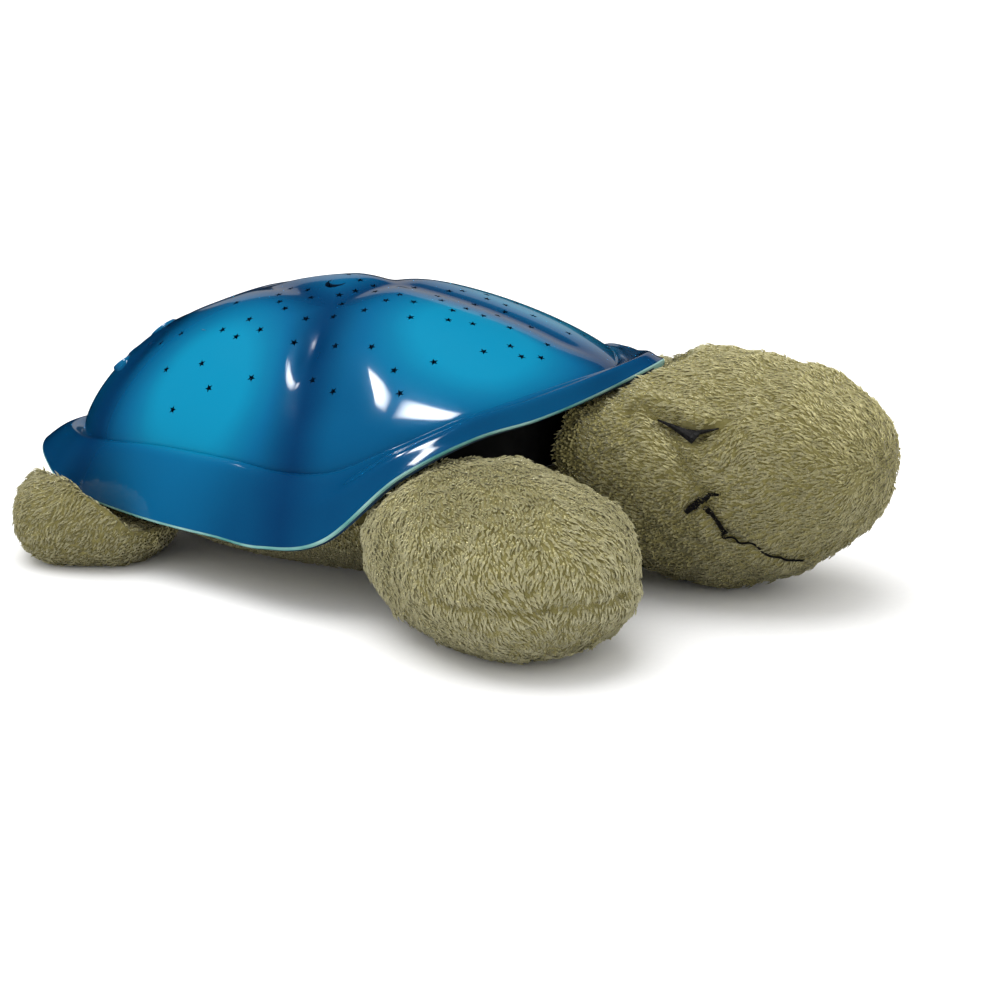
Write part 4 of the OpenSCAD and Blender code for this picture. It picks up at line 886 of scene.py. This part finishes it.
def cushion_mesh(name, settings, detail=6):
    """Stuffed form of one cushion a pile's depth inside its solid, with its folds pressed in."""
    at, half, yaw, roundness, taper, brush = CUSHIONS[name]
    ball = bmesh.new()
    bmesh.ops.create_icosphere(ball, subdivisions=detail, radius=1)
    mesh = as_mesh(name, ball)
    way = positions(mesh)
    way /= (np.abs(way) ** roundness).sum(1)[:, None] ** (1 / roundness)
    wide = 1 - taper * np.minimum(way[:, 2], 0) ** 2
    tall = np.where(way[:, 2] > 0, half[2], half[3])
    points = way * np.column_stack((half[0] * wide, half[1] * wide, tall))
    turn = math.radians(yaw)
    spin = np.array([[math.cos(turn), -math.sin(turn), 0], [math.sin(turn), math.cos(turn), 0], [0, 0, 1]])
    points = pressed(points @ spin.T + at)
    set_positions(mesh, points * MM)
    mirrored = points * ((1, -1, 1) if "left" in name else (1, 1, 1))
    out = rows(mesh.vertices, "normal")
    relief = sum(high * wavy(points, size, seed, waves) for high, size, seed, waves in LUMPS)
    both = (mirrored, mirrored * (1, -1, 1)) if name == "head_plush" else (mirrored,)
    for half_points in both:
        for line, depth, width in FOLDS[name.replace("left", "right")]:
            relief -= depth * np.exp(-(line_distance(half_points, line) / width) ** 2)
        if name == "head_plush":
            relief += 3 * np.exp(-(line_distance(half_points, EYELID) / 4.6) ** 2)
    inset = relief - settings.pile / MM
    flat = np.clip(points[:, 2] / 3, 0, 1)
    points = points + out * (inset * np.where(inset > 0, flat, 1))[:, None]
    points[:, 2] = np.maximum(points[:, 2], 0.6)
    set_positions(mesh, points * MM)
    out = rows(mesh.vertices, "normal")
    lie = combed(out, brush)
    lie /= np.linalg.norm(lie, axis=1)[:, None] + 1e-9
    swirl = 0.5 * wavy(points, 34, 11) + 0.42 * wavy(points, 12, 13)
    lie = lie * np.cos(swirl)[:, None] + np.cross(out, lie) * np.sin(swirl)[:, None]
    store(mesh, "lie", lie, "FLOAT_VECTOR")
    bare = np.zeros(len(points))
    if name == "head_plush":
        for reach in (0, 1.5, 3, 4.5):
            for half_points in (points + reach * lie, (points + reach * lie) * (1, -1, 1)):
                for line, room in BARE_LINES:
                    bare = np.maximum(bare, line_distance(half_points, line) < room)
    store(mesh, "bare", bare)
    return mesh


def lock_mesh(settings):
    """One lock of pile: a slim three-sided leaf that rises from its root, lies over and ends in a point."""
    leaf = bmesh.new()
    half = settings.lock_width / 2
    corners = [leaf.verts.new(place) for place in ((0, half, 0), (0, -half, 0), (0, 0, half * 0.9))]
    end = leaf.faces.new(corners)
    bmesh.ops.translate(leaf, vec=(0, 0, -0.0006), verts=corners)  # rooted in the backing
    length = settings.lock_length
    for run, rise, narrow in ((0.42, 0.0008, 1.05), (0.58, -0.0001, 0.5)):
        grown = bmesh.ops.extrude_face_region(leaf, geom=[end])["geom"]
        end = next(part for part in grown if isinstance(part, bmesh.types.BMFace))
        tip = [part for part in grown if isinstance(part, bmesh.types.BMVert)]
        middle = sum((v.co for v in tip), Vector()) / 3
        bmesh.ops.scale(leaf, vec=(1, narrow, narrow), space=Matrix.Translation(-middle), verts=tip)
        bmesh.ops.translate(leaf, vec=(run * length, 0, rise), verts=tip)
    bmesh.ops.pointmerge(leaf, verts=tip, merge_co=sum((v.co for v in tip), Vector()) / 3)
    bmesh.ops.recalc_face_normals(leaf, faces=leaf.faces)
    lock = new_object("lock", leaf)
    store(lock.data, "tip", positions(lock.data)[:, 0] / length)
    return lock


def combed(out, brush):
    """Directions along the skin that follow the brush."""
    brush = np.asarray(brush, float)
    return brush - (out @ brush)[:, None] * out


def drawn(tree, seed, low, high):
    """A random number or vector for each lock, between two ends."""
    vector = isinstance(low, tuple)
    node = add_node(tree, "FunctionNodeRandomValue", {"data_type": "FLOAT_VECTOR" if vector else "FLOAT"},
                    Seed=seed)
    first = 0 if vector else 2
    node.inputs[first].default_value, node.inputs[first + 1].default_value = low, high
    return node.outputs[0 if vector else 1]


def pile_modifier(lock, settings, seed, pale):
    """Node group that plants locks over a cushion along its brushed direction and joins them to it."""
    tree = bpy.data.node_groups.new("pile", "GeometryNodeTree")
    tree.interface.new_socket("Geometry", in_out="INPUT", socket_type="NodeSocketGeometry")
    tree.interface.new_socket("Geometry", in_out="OUTPUT", socket_type="NodeSocketGeometry")
    skin = tree.nodes.new("NodeGroupInput").outputs[0]
    bare = add_node(tree, "GeometryNodeInputNamedAttribute", {"data_type": "FLOAT"}, Name="bare")
    furry = add_node(tree, "FunctionNodeCompare", {"operation": "LESS_THAN"}, {0: bare.outputs[0]})
    furry.inputs[1].default_value = 0.5
    spread = add_node(tree, "GeometryNodeDistributePointsOnFaces", {"distribute_method": "POISSON"},
                      {"Mesh": skin, "Selection": furry.outputs[0]}, Distance_Min=settings.lock_gap,
                      Density_Max=LOCK_DENSITY, Seed=seed)
    lie = add_node(tree, "GeometryNodeInputNamedAttribute", {"data_type": "FLOAT_VECTOR"}, Name="lie")
    turned = add_node(tree, "FunctionNodeAxesToRotation", {"primary_axis": "Z", "secondary_axis": "X"},
                      {"Primary Axis": spread.outputs["Normal"], "Secondary Axis": lie.outputs[0]})
    strayed = add_node(tree, "FunctionNodeRotateRotation", {"rotation_space": "LOCAL"},
                       {"Rotation": turned.outputs[0], "Rotate By": drawn(tree, seed + 1, *LOCK_STRAY)})
    planted = add_node(tree, "GeometryNodeInstanceOnPoints", None, {
        "Points": spread.outputs["Points"],
        "Instance": add_node(tree, "GeometryNodeObjectInfo", None, None, Object=lock).outputs["Geometry"],
        "Rotation": strayed.outputs[0], "Scale": drawn(tree, seed + 2, *LOCK_SIZES)})
    # The lock value is drawn between pale and one more: pale lifts the front flippers' pile as painted light
    kept = add_node(tree, "GeometryNodeStoreNamedAttribute", {"data_type": "FLOAT", "domain": "INSTANCE"},
                    {"Geometry": planted.outputs[0], "Value": drawn(tree, seed + 3, pale, 1 + pale)},
                    Name="lock")
    whole = add_node(tree, "GeometryNodeRealizeInstances", None, {"Geometry": kept.outputs[0]})
    both = add_node(tree, "GeometryNodeJoinGeometry", None, {"Geometry": whole.outputs[0]})
    tree.links.new(skin, both.inputs[0])
    smooth = add_node(tree, "GeometryNodeSetShadeSmooth", None, {"Geometry": both.outputs[0]})
    add_node(tree, "NodeGroupOutput", None, {"Geometry": smooth.outputs[0]})
    return tree


def grow_pile(cushion, node, lock, settings, seed, pale=0):
    grown = cushion.modifiers.new("pile", "NODES")
    grown.node_group = pile_modifier(lock, settings, seed, pale)
    settle_modifiers(cushion)
    points = positions(cushion.data)
    points[:, 2] = np.maximum(points[:, 2], 0.0001)
    set_positions(cushion.data, points)
    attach(cushion, TURTLE)
    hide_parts(node)


class TURTLE_OT_plush(bpy.types.Operator):
    """Stuffed head and flippers under a brushed pile"""
    bl_idname = "turtle.plush"
    bl_label = "Plush"

    def execute(self, context):
        settings = context.scene.turtle_plush
        backing, pile = plush_backing(), plush_pile()
        lock = lock_mesh(settings)
        lock.data.materials.append(pile)
        for number, name in enumerate(CUSHIONS):
            mesh = cushion_mesh(name, settings, 5 if "rear" in name else 6)
            # The front flippers get pale set to one: painted light on them
            grow_pile(new_object(name + "_pile", mesh, backing), name, lock, settings,
                      settings.seed + 10 * number, 1 if "front" in name else 0)
        copy = bmesh.new()
        copy.from_mesh(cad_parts["torso_plush"].data)
        weld(copy)
        bmesh.ops.subdivide_edges(copy, edges=copy.edges, cuts=1, use_grid_fill=True)
        cushion = new_object("torso_pile", copy)
        mesh = cushion.data
        mesh.materials.clear()
        mesh.materials.append(backing)
        place, out = positions(mesh), rows(mesh.vertices, "normal")
        store(mesh, "lie", combed(out, TORSO_BRUSH), "FLOAT_VECTOR")
        outward, height = (out[:, :2] * place[:, :2]).sum(1), place[:, 2]
        low, high = TORSO_PILE
        store(mesh, "bare", np.where((outward > 0) & (height > low) & (height < high), 0.0, 1.0))
        grow_pile(cushion, "torso_plush", lock, settings, settings.seed + 90)
        bpy.data.meshes.remove(lock.data)
        return {"FINISHED"}


# ---------- face ----------

def line_run(points):
    """How far along a line each of its points lies."""
    return np.append(0, np.cumsum(np.linalg.norm(np.diff(points, axis=0), axis=1)))


def line_point(line, share):
    """Point at a share of a line's length."""
    points = np.asarray(line, float)
    run = line_run(points)
    return np.array([np.interp(share * run[-1], run, points[:, k]) for k in range(3)])


def threads(name, paths, radius, material, body=TURTLE):
    """Round threads along paths of points in millimetres, as one piece."""
    curve = bpy.data.curves.new(name, "CURVE")
    curve.dimensions = "3D"
    curve.bevel_depth = radius * MM
    curve.bevel_resolution = 1
    curve.use_fill_caps = True
    for path in paths:
        spline = curve.splines.new("POLY")
        spline.points.add(len(path) - 1)
        for point, place in zip(spline.points, path):
            point.co = (*(np.asarray(place) * MM), 1)
    holder = bpy.data.objects.new(name, curve)
    mesh = bpy.data.meshes.new_from_object(holder)
    bpy.data.objects.remove(holder)
    bpy.data.curves.remove(curve)
    mesh.name = name
    mesh.shade_smooth()
    piece = new_object(name, mesh, material)
    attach(piece, body)
    return piece


class TURTLE_OT_face(bpy.types.Operator):
    """Closed eyes and mouth, embroidered stitch by stitch on both cheeks"""
    bl_idname = "turtle.face"
    bl_label = "Face"

    def execute(self, context):
        settings = context.scene.turtle_plush
        mesh = cushion_mesh("head_plush", settings)
        skin = bmesh.new()
        skin.from_mesh(mesh)
        tree = BVHTree.FromBMesh(skin)
        skin.free()
        bpy.data.meshes.remove(mesh)
        thread = satin_thread()

        def on_skin(place, lift):
            at, normal, _, _ = tree.find_nearest(Vector(place) * MM)
            return np.array(at) / MM + np.array(normal) * lift

        for side, label in ((1, "right"), (-1, "left")):
            flip = np.array((1, side, 1))
            eye = []
            for share in np.linspace(0, 1, EYE_STITCHES):
                upper, lower = (line_point(edge, share) * flip for edge in EYE)
                eye.append([upper + (lower - upper) * t - (0, 0.4 * side * math.sin(math.pi * t), 0)
                            for t in (0, 0.25, 0.5, 0.75, 1)])
            threads(f"eye_{label}", eye, 0.24, thread)
            mouth = []
            for line, wide in zip(MOUTH, (0.95, 0.85)):
                for share in np.linspace(0, 1, MOUTH_STITCHES):
                    here = line_point(line, share)
                    way = line_point(line, min(1, share + 0.02)) - line_point(line, max(0, share - 0.02))
                    _, normal, _, _ = tree.find_nearest(Vector(here * flip) * MM)
                    across = np.cross(way * flip, np.array(normal))
                    swell = 0.55 + 0.45 * math.sin(math.pi * (0.15 + 0.8 * share))
                    across *= wide * swell / np.linalg.norm(across)
                    mouth.append([on_skin(here * flip + across * t, THREAD_LIFT + 0.5 * (1 - t * t))
                                  for t in (-1, -0.4, 0.4, 1)])
            threads(f"mouth_{label}", mouth, 0.2, thread)
            # Black thread along the chin seam: painted shade in the seam's crease
            sewn = np.array([on_skin(line_point(CHIN_SEAM, share) * flip, 0.9)
                             for share in np.linspace(0, 1, 40)])
            for _ in range(4):
                sewn[1:-1] = (sewn[:-2] + 2 * sewn[1:-1] + sewn[2:]) / 4
            threads(f"chin_seam_{label}", [sewn], 0.42, thread)
        return {"FINISHED"}


# ---------- buttons ----------

# Tints of the dots in the buttons
DOTS = {"power_button": ("#cfd4d2", "#e9ecea"), "amber_button": ("#d98f2e", "#eeb55a"),
        "green_button": ("#3f9a55", "#69bf79"), "blue_button": ("#3a76d0", "#6aa0ea")}


class TURTLE_OT_buttons(bpy.types.Operator):
    """Four push buttons on the back of the shell, each with a stem, a flange and a tinted dot"""
    bl_idname = "turtle.buttons"
    bl_label = "Buttons"

    def execute(self, context):
        settings = context.scene.turtle_shell
        cap_plastic = button_abs()
        for name, across in BUTTONS.items():
            place = button_matrix(settings, across)
            solid = positions(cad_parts[name].data)
            local = (np.asarray(place.inverted()) @ np.column_stack((solid, np.ones(len(solid)))).T)[2] / MM
            foot, top, cap = local.min(), local.max() - settings.button_sink / MM, across[2] / 2
            flange = local.max() - FLANGE_DROP
            profile = ((0, top - 0.1), (1.5, top - 0.1), (1.7, top - 0.3), (2.0, top - 0.3),
                       (2.3, top + 0.05), (cap - 1.2, top), (cap - 0.5, top - 0.15), (cap - 0.12, top - 0.5),
                       (cap, top - 1.1), (cap, flange), (cap + 1.2, flange), (cap + 1.2, flange - 1.2),
                       (2, flange - 1.2), (2, foot), (0, foot))
            button = bmesh.new()
            corners = [button.verts.new((r * MM, 0, z * MM)) for r, z in profile]
            rails = [button.edges.new(pair) for pair in zip(corners, corners[1:])]
            bmesh.ops.spin(button, geom=corners + rails, cent=(0, 0, 0), axis=(0, 0, 1), angle=2 * math.pi,
                           steps=48, use_merge=True)
            weld(button)
            bmesh.ops.recalc_face_normals(button, faces=button.faces)
            for face in button.faces:
                middle = face.calc_center_median()
                if math.hypot(middle.x, middle.y) < DOT_R * MM and middle.z > 0:
                    face.material_index = 1
            bmesh.ops.transform(button, matrix=place, verts=button.verts)
            piece = new_object(name + "_cap", button, cap_plastic, lens_dot(*DOTS[name]))
            smooth(piece.data, 40)
            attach(piece, name + "_body")
            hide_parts(name)
        return {"FINISHED"}


# ---------- belly ----------

# The flap: its sewn edge, its free edge, its width and the radius of its corners
FLAP_HINGE_X = -15.5
FLAP_FREE_X = -97.5
FLAP_WIDE = 44
FLAP_ROUND = 14
# The hook and loop tapes: their two ends along the turtle, width, thickness and the height of the pile
TAPE_X = (-95.5, -87.5)
TAPE_WIDE = 22
TAPE_THICK = 0.36
HOOK_TALL = 0.38


def cloth_from(node, thickness, wave, seed, material):
    """Thin cloth with the outline of a flat solid: its underside cut into a fine grid, then puckered and
    thickened."""
    cloth = bmesh.new()
    cloth.from_mesh(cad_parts[node].data)
    weld(cloth)
    low = min(v.co.z for v in cloth.verts)
    other = [f for f in cloth.faces if f.normal.z > -0.9 or f.calc_center_median().z > low + 0.0003]
    bmesh.ops.delete(cloth, geom=other, context="FACES")
    bmesh.ops.dissolve_limit(cloth, angle_limit=0.01, verts=cloth.verts, edges=cloth.edges)
    for axis in (Vector((1, 0, 0)), Vector((0, 1, 0))):
        span = [v.co.dot(axis) for v in cloth.verts]
        for cut in np.arange(min(span) + 0.002, max(span), 0.003):
            bmesh.ops.bisect_plane(cloth, geom=cloth.verts[:] + cloth.edges[:] + cloth.faces[:],
                                   plane_co=axis * cut, plane_no=axis)
    bmesh.ops.triangulate(cloth, faces=[f for f in cloth.faces if len(f.verts) > 4])
    area = sum(f.calc_area() for f in cloth.faces)
    flat = np.array([v.co for v in cloth.verts]) / MM
    for vert, up in zip(cloth.verts, wavy(flat, 16, seed)):
        vert.co.z += (0.5 + 0.5 * up) * wave * MM
    bmesh.ops.reverse_faces(cloth, faces=cloth.faces)
    bmesh.ops.solidify(cloth, geom=cloth.faces[:], thickness=-thickness)
    bmesh.ops.recalc_face_normals(cloth, faces=cloth.faces)
    lift = max(0.0, 0.0001 - min(v.co.z for v in cloth.verts))
    bmesh.ops.translate(cloth, vec=(0, 0, lift), verts=cloth.verts)
    piece = new_object(node + "_cloth", cloth, material)
    smooth(piece.data, 50)
    return piece, area


def stitches(path, length=2.4, pitch=3.4):
    """Short arched stitches one after another along a path of points in millimetres."""
    points = np.asarray(path, float)
    run = line_run(points)
    made = []
    for start in np.arange(0, run[-1] - length, pitch):
        arch = []
        for t in (0, 0.25, 0.75, 1):
            at = [np.interp(start + t * length, run, points[:, k]) for k in range(3)]
            arch.append((at[0], at[1], at[2] - 0.25 * math.sin(math.pi * t)))
        made.append(arch)
    return made


def flap_edge(inset, z):
    """Line round the flap's three free sides, in millimetres."""
    r, wide = FLAP_ROUND - inset, FLAP_WIDE / 2 - inset
    corner = FLAP_FREE_X + FLAP_ROUND
    path = [(FLAP_HINGE_X, -wide, z)]
    for side, sweep in ((-1, range(0, 91, 15)), (1, range(90, -1, -15))):
        for angle in sweep:
            a = math.radians(angle)
            path.append((corner - r * math.sin(a), side * (wide - r + r * math.cos(a)), z))
    return path + [(FLAP_HINGE_X, wide, z)]


class TURTLE_OT_belly(bpy.types.Operator):
    """Belly cloth, the flap over the battery bay, their stitching and the hook and loop tapes"""
    bl_idname = "turtle.belly"
    bl_label = "Belly"

    def execute(self, context):
        cloth, thread = twill("olive twill cloth", "#6d6845", "#98926a"), sewing_thread()
        tape = twill("black nylon tape", "#131316", "#2a2b30")
        panel, area = cloth_from("belly_panel", 0.0009, 0.5, 41, cloth)
        hem = [(x * 0.965 - SHELL_BACK, y * 0.94, 0.5) for x, y in foot_outline(np.arange(0, 361, 4))]
        panel_seam = threads("belly_stitching", stitches(hem) + stitches(flap_edge(-2.6, 0.5)), 0.22, thread)
        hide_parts("belly_panel")
        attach(panel, TURTLE)
        flap, flap_area = cloth_from("belly_flap", 0.001, 0.25, 43, cloth)
        seam = threads("flap_stitching", stitches(flap_edge(2.2, 0.62)) + stitches(
            [(FLAP_HINGE_X - 3, y, 0.62) for y in (-20, 0, 20)]), 0.2, thread, "flap")
        hooks = self.tape("hook_tape", tape, 2.0, 1)
        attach(hooks, "flap")
        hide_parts("hook_strip")
        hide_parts("belly_flap")
        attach(flap, "flap")
        loops = self.tape("loop_tape", tape, 3.8, -1)
        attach(loops, TURTLE)
        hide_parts("loop_strip")
        return {"FINISHED"}

    def tape(self, name, material, back, way):
        """A woven tape with rounded corners and rows of hooks or loops on its face, clear of its edges; way
        is up or down.
        """
        x0, x1 = TAPE_X
        strip = bmesh.new()
        middle = ((x0 + x1) / 2, 0, back + way * TAPE_THICK / 2)
        bmesh.ops.create_cube(strip, size=MM, matrix=shift(*middle) @ Matrix.Diagonal(
            (x1 - x0, TAPE_WIDE, TAPE_THICK, 1)))
        upright = [e for e in strip.edges if abs(e.verts[0].co.z - e.verts[1].co.z) > 0.0002]
        bmesh.ops.bevel(strip, geom=upright, affect="EDGES", offset=2.4 * MM, segments=5, profile=0.5,
                        material=-1)
        for i, x in enumerate(np.arange(x0 + 0.9, x1 - 0.7, 0.75)):
            for y in np.arange(1.0 - TAPE_WIDE / 2, TAPE_WIDE / 2 - 0.8, 0.9):
                if math.hypot(max(0, abs(x - middle[0]) - 1.6), max(0, abs(y) - 8.6)) > 2:
                    continue
                lean = Matrix.Rotation(0.5 * (1 if i % 2 else -1), 4, "Y")
                at = shift(x, y + 0.3 * (i % 2), back + way * (TAPE_THICK + HOOK_TALL / 2 - 0.06))
                bmesh.ops.create_cone(strip, cap_ends=True, segments=4, radius1=0.16 * MM, radius2=0.07 * MM,
                                      depth=HOOK_TALL * MM, matrix=at @ lean)
        bmesh.ops.recalc_face_normals(strip, faces=strip.faces)
        return new_object(name, strip, material)


# ---------- inner parts ----------

class TURTLE_OT_inner_parts(bpy.types.Operator):
    """Finishes of the tray, the battery bay, the boards, the lamps, the screws and the wires"""
    bl_idname = "turtle.inner_parts"
    bl_label = "Inner parts"

    def execute(self, context):
        steel, board = nickel_plated_steel(), solder_masked_board()
        charcoal = grained_abs("charcoal grained ABS", "#25272a", "#33363a")
        finishes = {
            "base_tray": charcoal,
            "battery_door": charcoal,
            "light_baffle": grained_abs("matt black ABS collar", "#121315", "#1c1d20", 0.7),
            "lamp_pedestal": grained_abs("pale grey ABS", "#b9bbb8", "#cdcecb", 0.5),
            "door_screw": steel, "shell_screws": steel, "board_screws": steel,
            "contact_springs": steel, "contact_plates": steel,
            "batteries": printed_cell_sleeve(),
            "control_board": board, "lamp_board": board, "button_board": board,
            "timer_chip": moulded_epoxy(), "tact_switches": moulded_epoxy(),
            "board_capacitors": capacitor_sleeve(),
            "board_resistors": banded_resistor_lacquer(),
            "amber_lamp": tinted_lamp_epoxy("#d98a1c", "#f0b85a"),
            "green_lamp": tinted_lamp_epoxy("#3fae52", "#7fd58c"),
            "blue_lamp": tinted_lamp_epoxy("#2f63cf", "#7ba4f0"),
            "battery_wires": wire_pvc("#96211c", "#b8332c"),
            "lamp_wires": wire_pvc("#c88a34", "#e0a34a"),
            "button_wires": wire_pvc("#2f5f9e", "#3f74b8"),
        }
        for name, finish in finishes.items():
            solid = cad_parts[name]
            if not solid.material_slots:
                solid.data.materials.append(finish)
            for slot in solid.material_slots:
                slot.material = finish
        return {"FINISHED"}


# ---------- stage ----------

# Middle of the studio's lamps and cards, the place that the camera looks at, and the shift of its lens
STUDIO_MIDDLE = Vector((0, -0.06, 0.085))
LOOK_AT = Vector((0.0115, 0, 0.052))
LENS_SHIFT = (0.03, -0.07)
# White surroundings, the broad key light and the panel behind: way, distance, size and power
COVE_GLOW = 1.12
KEY_WAY = (-0.3, 0.1, 0.95)
KEY_ENERGY = 1.7
BACK_PANEL = ((0.1, 1.0, 0.32), 1.6, (3.2, 0.7), 2.2)
# Cards that only glossy surfaces see: way, distance, size, turn and glow; a black one hides a highlight
CARDS = {"softbox overhead": ((-0.05, -0.33, 0.94), 0.95, (0.58, 0.19), 0, 34),
         "softbox at the side": ((-0.6, -0.12, 0.79), 0.32, (0.055, 0.18), -0.75, 30),
         "black flag": ((-0.104, -0.012, 0.085), 0.135, (0.16, 0.07), 0, 0)}


class TURTLE_OT_stage(bpy.types.Operator):
    """Pale floor, soft studio light and the camera"""
    bl_idname = "turtle.stage"
    bl_label = "Stage"

    def execute(self, context):
        settings = context.scene.turtle_stage
        ground = bmesh.new()
        bmesh.ops.create_grid(ground, x_segments=1, y_segments=1, size=30)
        floor = new_object("floor", ground, mottled("matt white paper sweep", (300, 2), "#f6f6f6", "#fbfbfb",
                                                    (0, 1), Roughness=0.9, Specular_IOR_Level=0.1))
        floor.visible_glossy = False
        world = bpy.data.worlds.new("white cove")
        context.scene.world = world
        world.use_nodes = True
        background = world.node_tree.nodes["Background"]
        background.inputs["Color"].default_value = (1, 1, 1, 1)
        background.inputs["Strength"].default_value = COVE_GLOW
        world.cycles_visibility.glossy = False
        for name, card in CARDS.items():
            self.card(name, *card)
        self.lamp("back panel", *BACK_PANEL)
        sky = bpy.data.lights.new("key light", "SUN")
        sky.energy = KEY_ENERGY
        sky.angle = math.radians(60)
        key = new_object("key light", sky)
        key.rotation_euler = Vector(KEY_WAY).to_track_quat("Z", "Y").to_euler()
        key.visible_glossy = False
        camera = bpy.data.cameras.new("camera")
        camera.lens = settings.lens
        camera.sensor_width = 36
        camera.shift_x, camera.shift_y = LENS_SHIFT
        eye = new_object("camera", camera)
        a, e = settings.azimuth, settings.elevation
        back = Vector((math.sin(a) * math.cos(e), -math.cos(a) * math.cos(e), math.sin(e)))
        eye.location = LOOK_AT + back * settings.distance
        eye.rotation_euler = (-back).to_track_quat("-Z", "Y").to_euler()
        context.scene.camera = eye
        context.scene.view_settings.view_transform = "Standard"
        return {"FINISHED"}

    def card(self, name, way, distance, size, turn, glow):
        """A card whose glow fades towards its edges, as a softbox does."""
        sheet = bmesh.new()
        way = Vector(way).normalized()
        place = (Matrix.Translation(STUDIO_MIDDLE + way * distance)
                 @ way.to_track_quat("Z", "Y").to_matrix().to_4x4() @ Matrix.Rotation(turn, 4, "Z")
                 @ Matrix.Diagonal((size[0], size[1], 1, 1)))
        bmesh.ops.create_grid(sheet, x_segments=12, y_segments=12, size=0.5)
        fade = sheet.verts.layers.float.new("fade")
        for vertex in sheet.verts:
            vertex[fade] = (1 - abs(2 * vertex.co.x) ** 3) * (1 - abs(2 * vertex.co.y) ** 3)
        bmesh.ops.transform(sheet, matrix=place, verts=sheet.verts)
        material, tree, shader = new_material(name, Base_Color=(0, 0, 0, 1), Specular_IOR_Level=0,
                                              Emission_Color=(1, 1, 1, 1))
        tree.links.new(weighted(tree, attribute(tree, "fade"), glow), shader.inputs["Emission Strength"])
        material.cycles.emission_sampling = "NONE"
        card = new_object(name.replace(" ", "_"), sheet, material)
        card.visible_camera = card.visible_diffuse = card.visible_shadow = card.visible_transmission = False

    def lamp(self, name, way, distance, size, power):
        light = bpy.data.lights.new(name, "AREA")
        light.shape = "RECTANGLE"
        light.size, light.size_y = size
        light.energy = power
        lamp = new_object(name, light)
        way = Vector(way).normalized()
        lamp.visible_camera = False
        lamp.location = STUDIO_MIDDLE + way * distance
        lamp.rotation_euler = way.to_track_quat("Z", "Y").to_euler()


class TURTLE_PT_panel(bpy.types.Panel):
    """Lists the pieces and their sizes"""
    bl_idname = "TURTLE_PT_panel"
    bl_label = "Turtle night light"
    bl_space_type = "VIEW_3D"
    bl_region_type = "UI"
    bl_category = "Night light"

    def draw(self, context):
        for group in GROUPS:
            settings = getattr(context.scene, group)
            for name in settings.__annotations__:
                self.layout.prop(settings, name)
        for step in STEPS:
            self.layout.operator(step.bl_idname)


GROUPS = {"turtle_shell": ShellSettings, "turtle_plush": PlushSettings, "turtle_stage": StageSettings}
STEPS = (TURTLE_OT_stage, TURTLE_OT_shell, TURTLE_OT_buttons, TURTLE_OT_plush, TURTLE_OT_face,
         TURTLE_OT_belly, TURTLE_OT_inner_parts)
CLASSES = (*GROUPS.values(), *STEPS, TURTLE_PT_panel)


def register():
    for cls in CLASSES:
        bpy.utils.register_class(cls)
    for name, group in GROUPS.items():
        setattr(bpy.types.Scene, name, PointerProperty(type=group))


def unregister():
    for name in GROUPS:
        delattr(bpy.types.Scene, name)
    for cls in reversed(CLASSES):
        bpy.utils.unregister_class(cls)


def main():
    register()
    for step in STEPS:
        group, name = step.bl_idname.split(".")
        getattr(getattr(bpy.ops, group), name)()


if __name__ == "__main__":
    main()
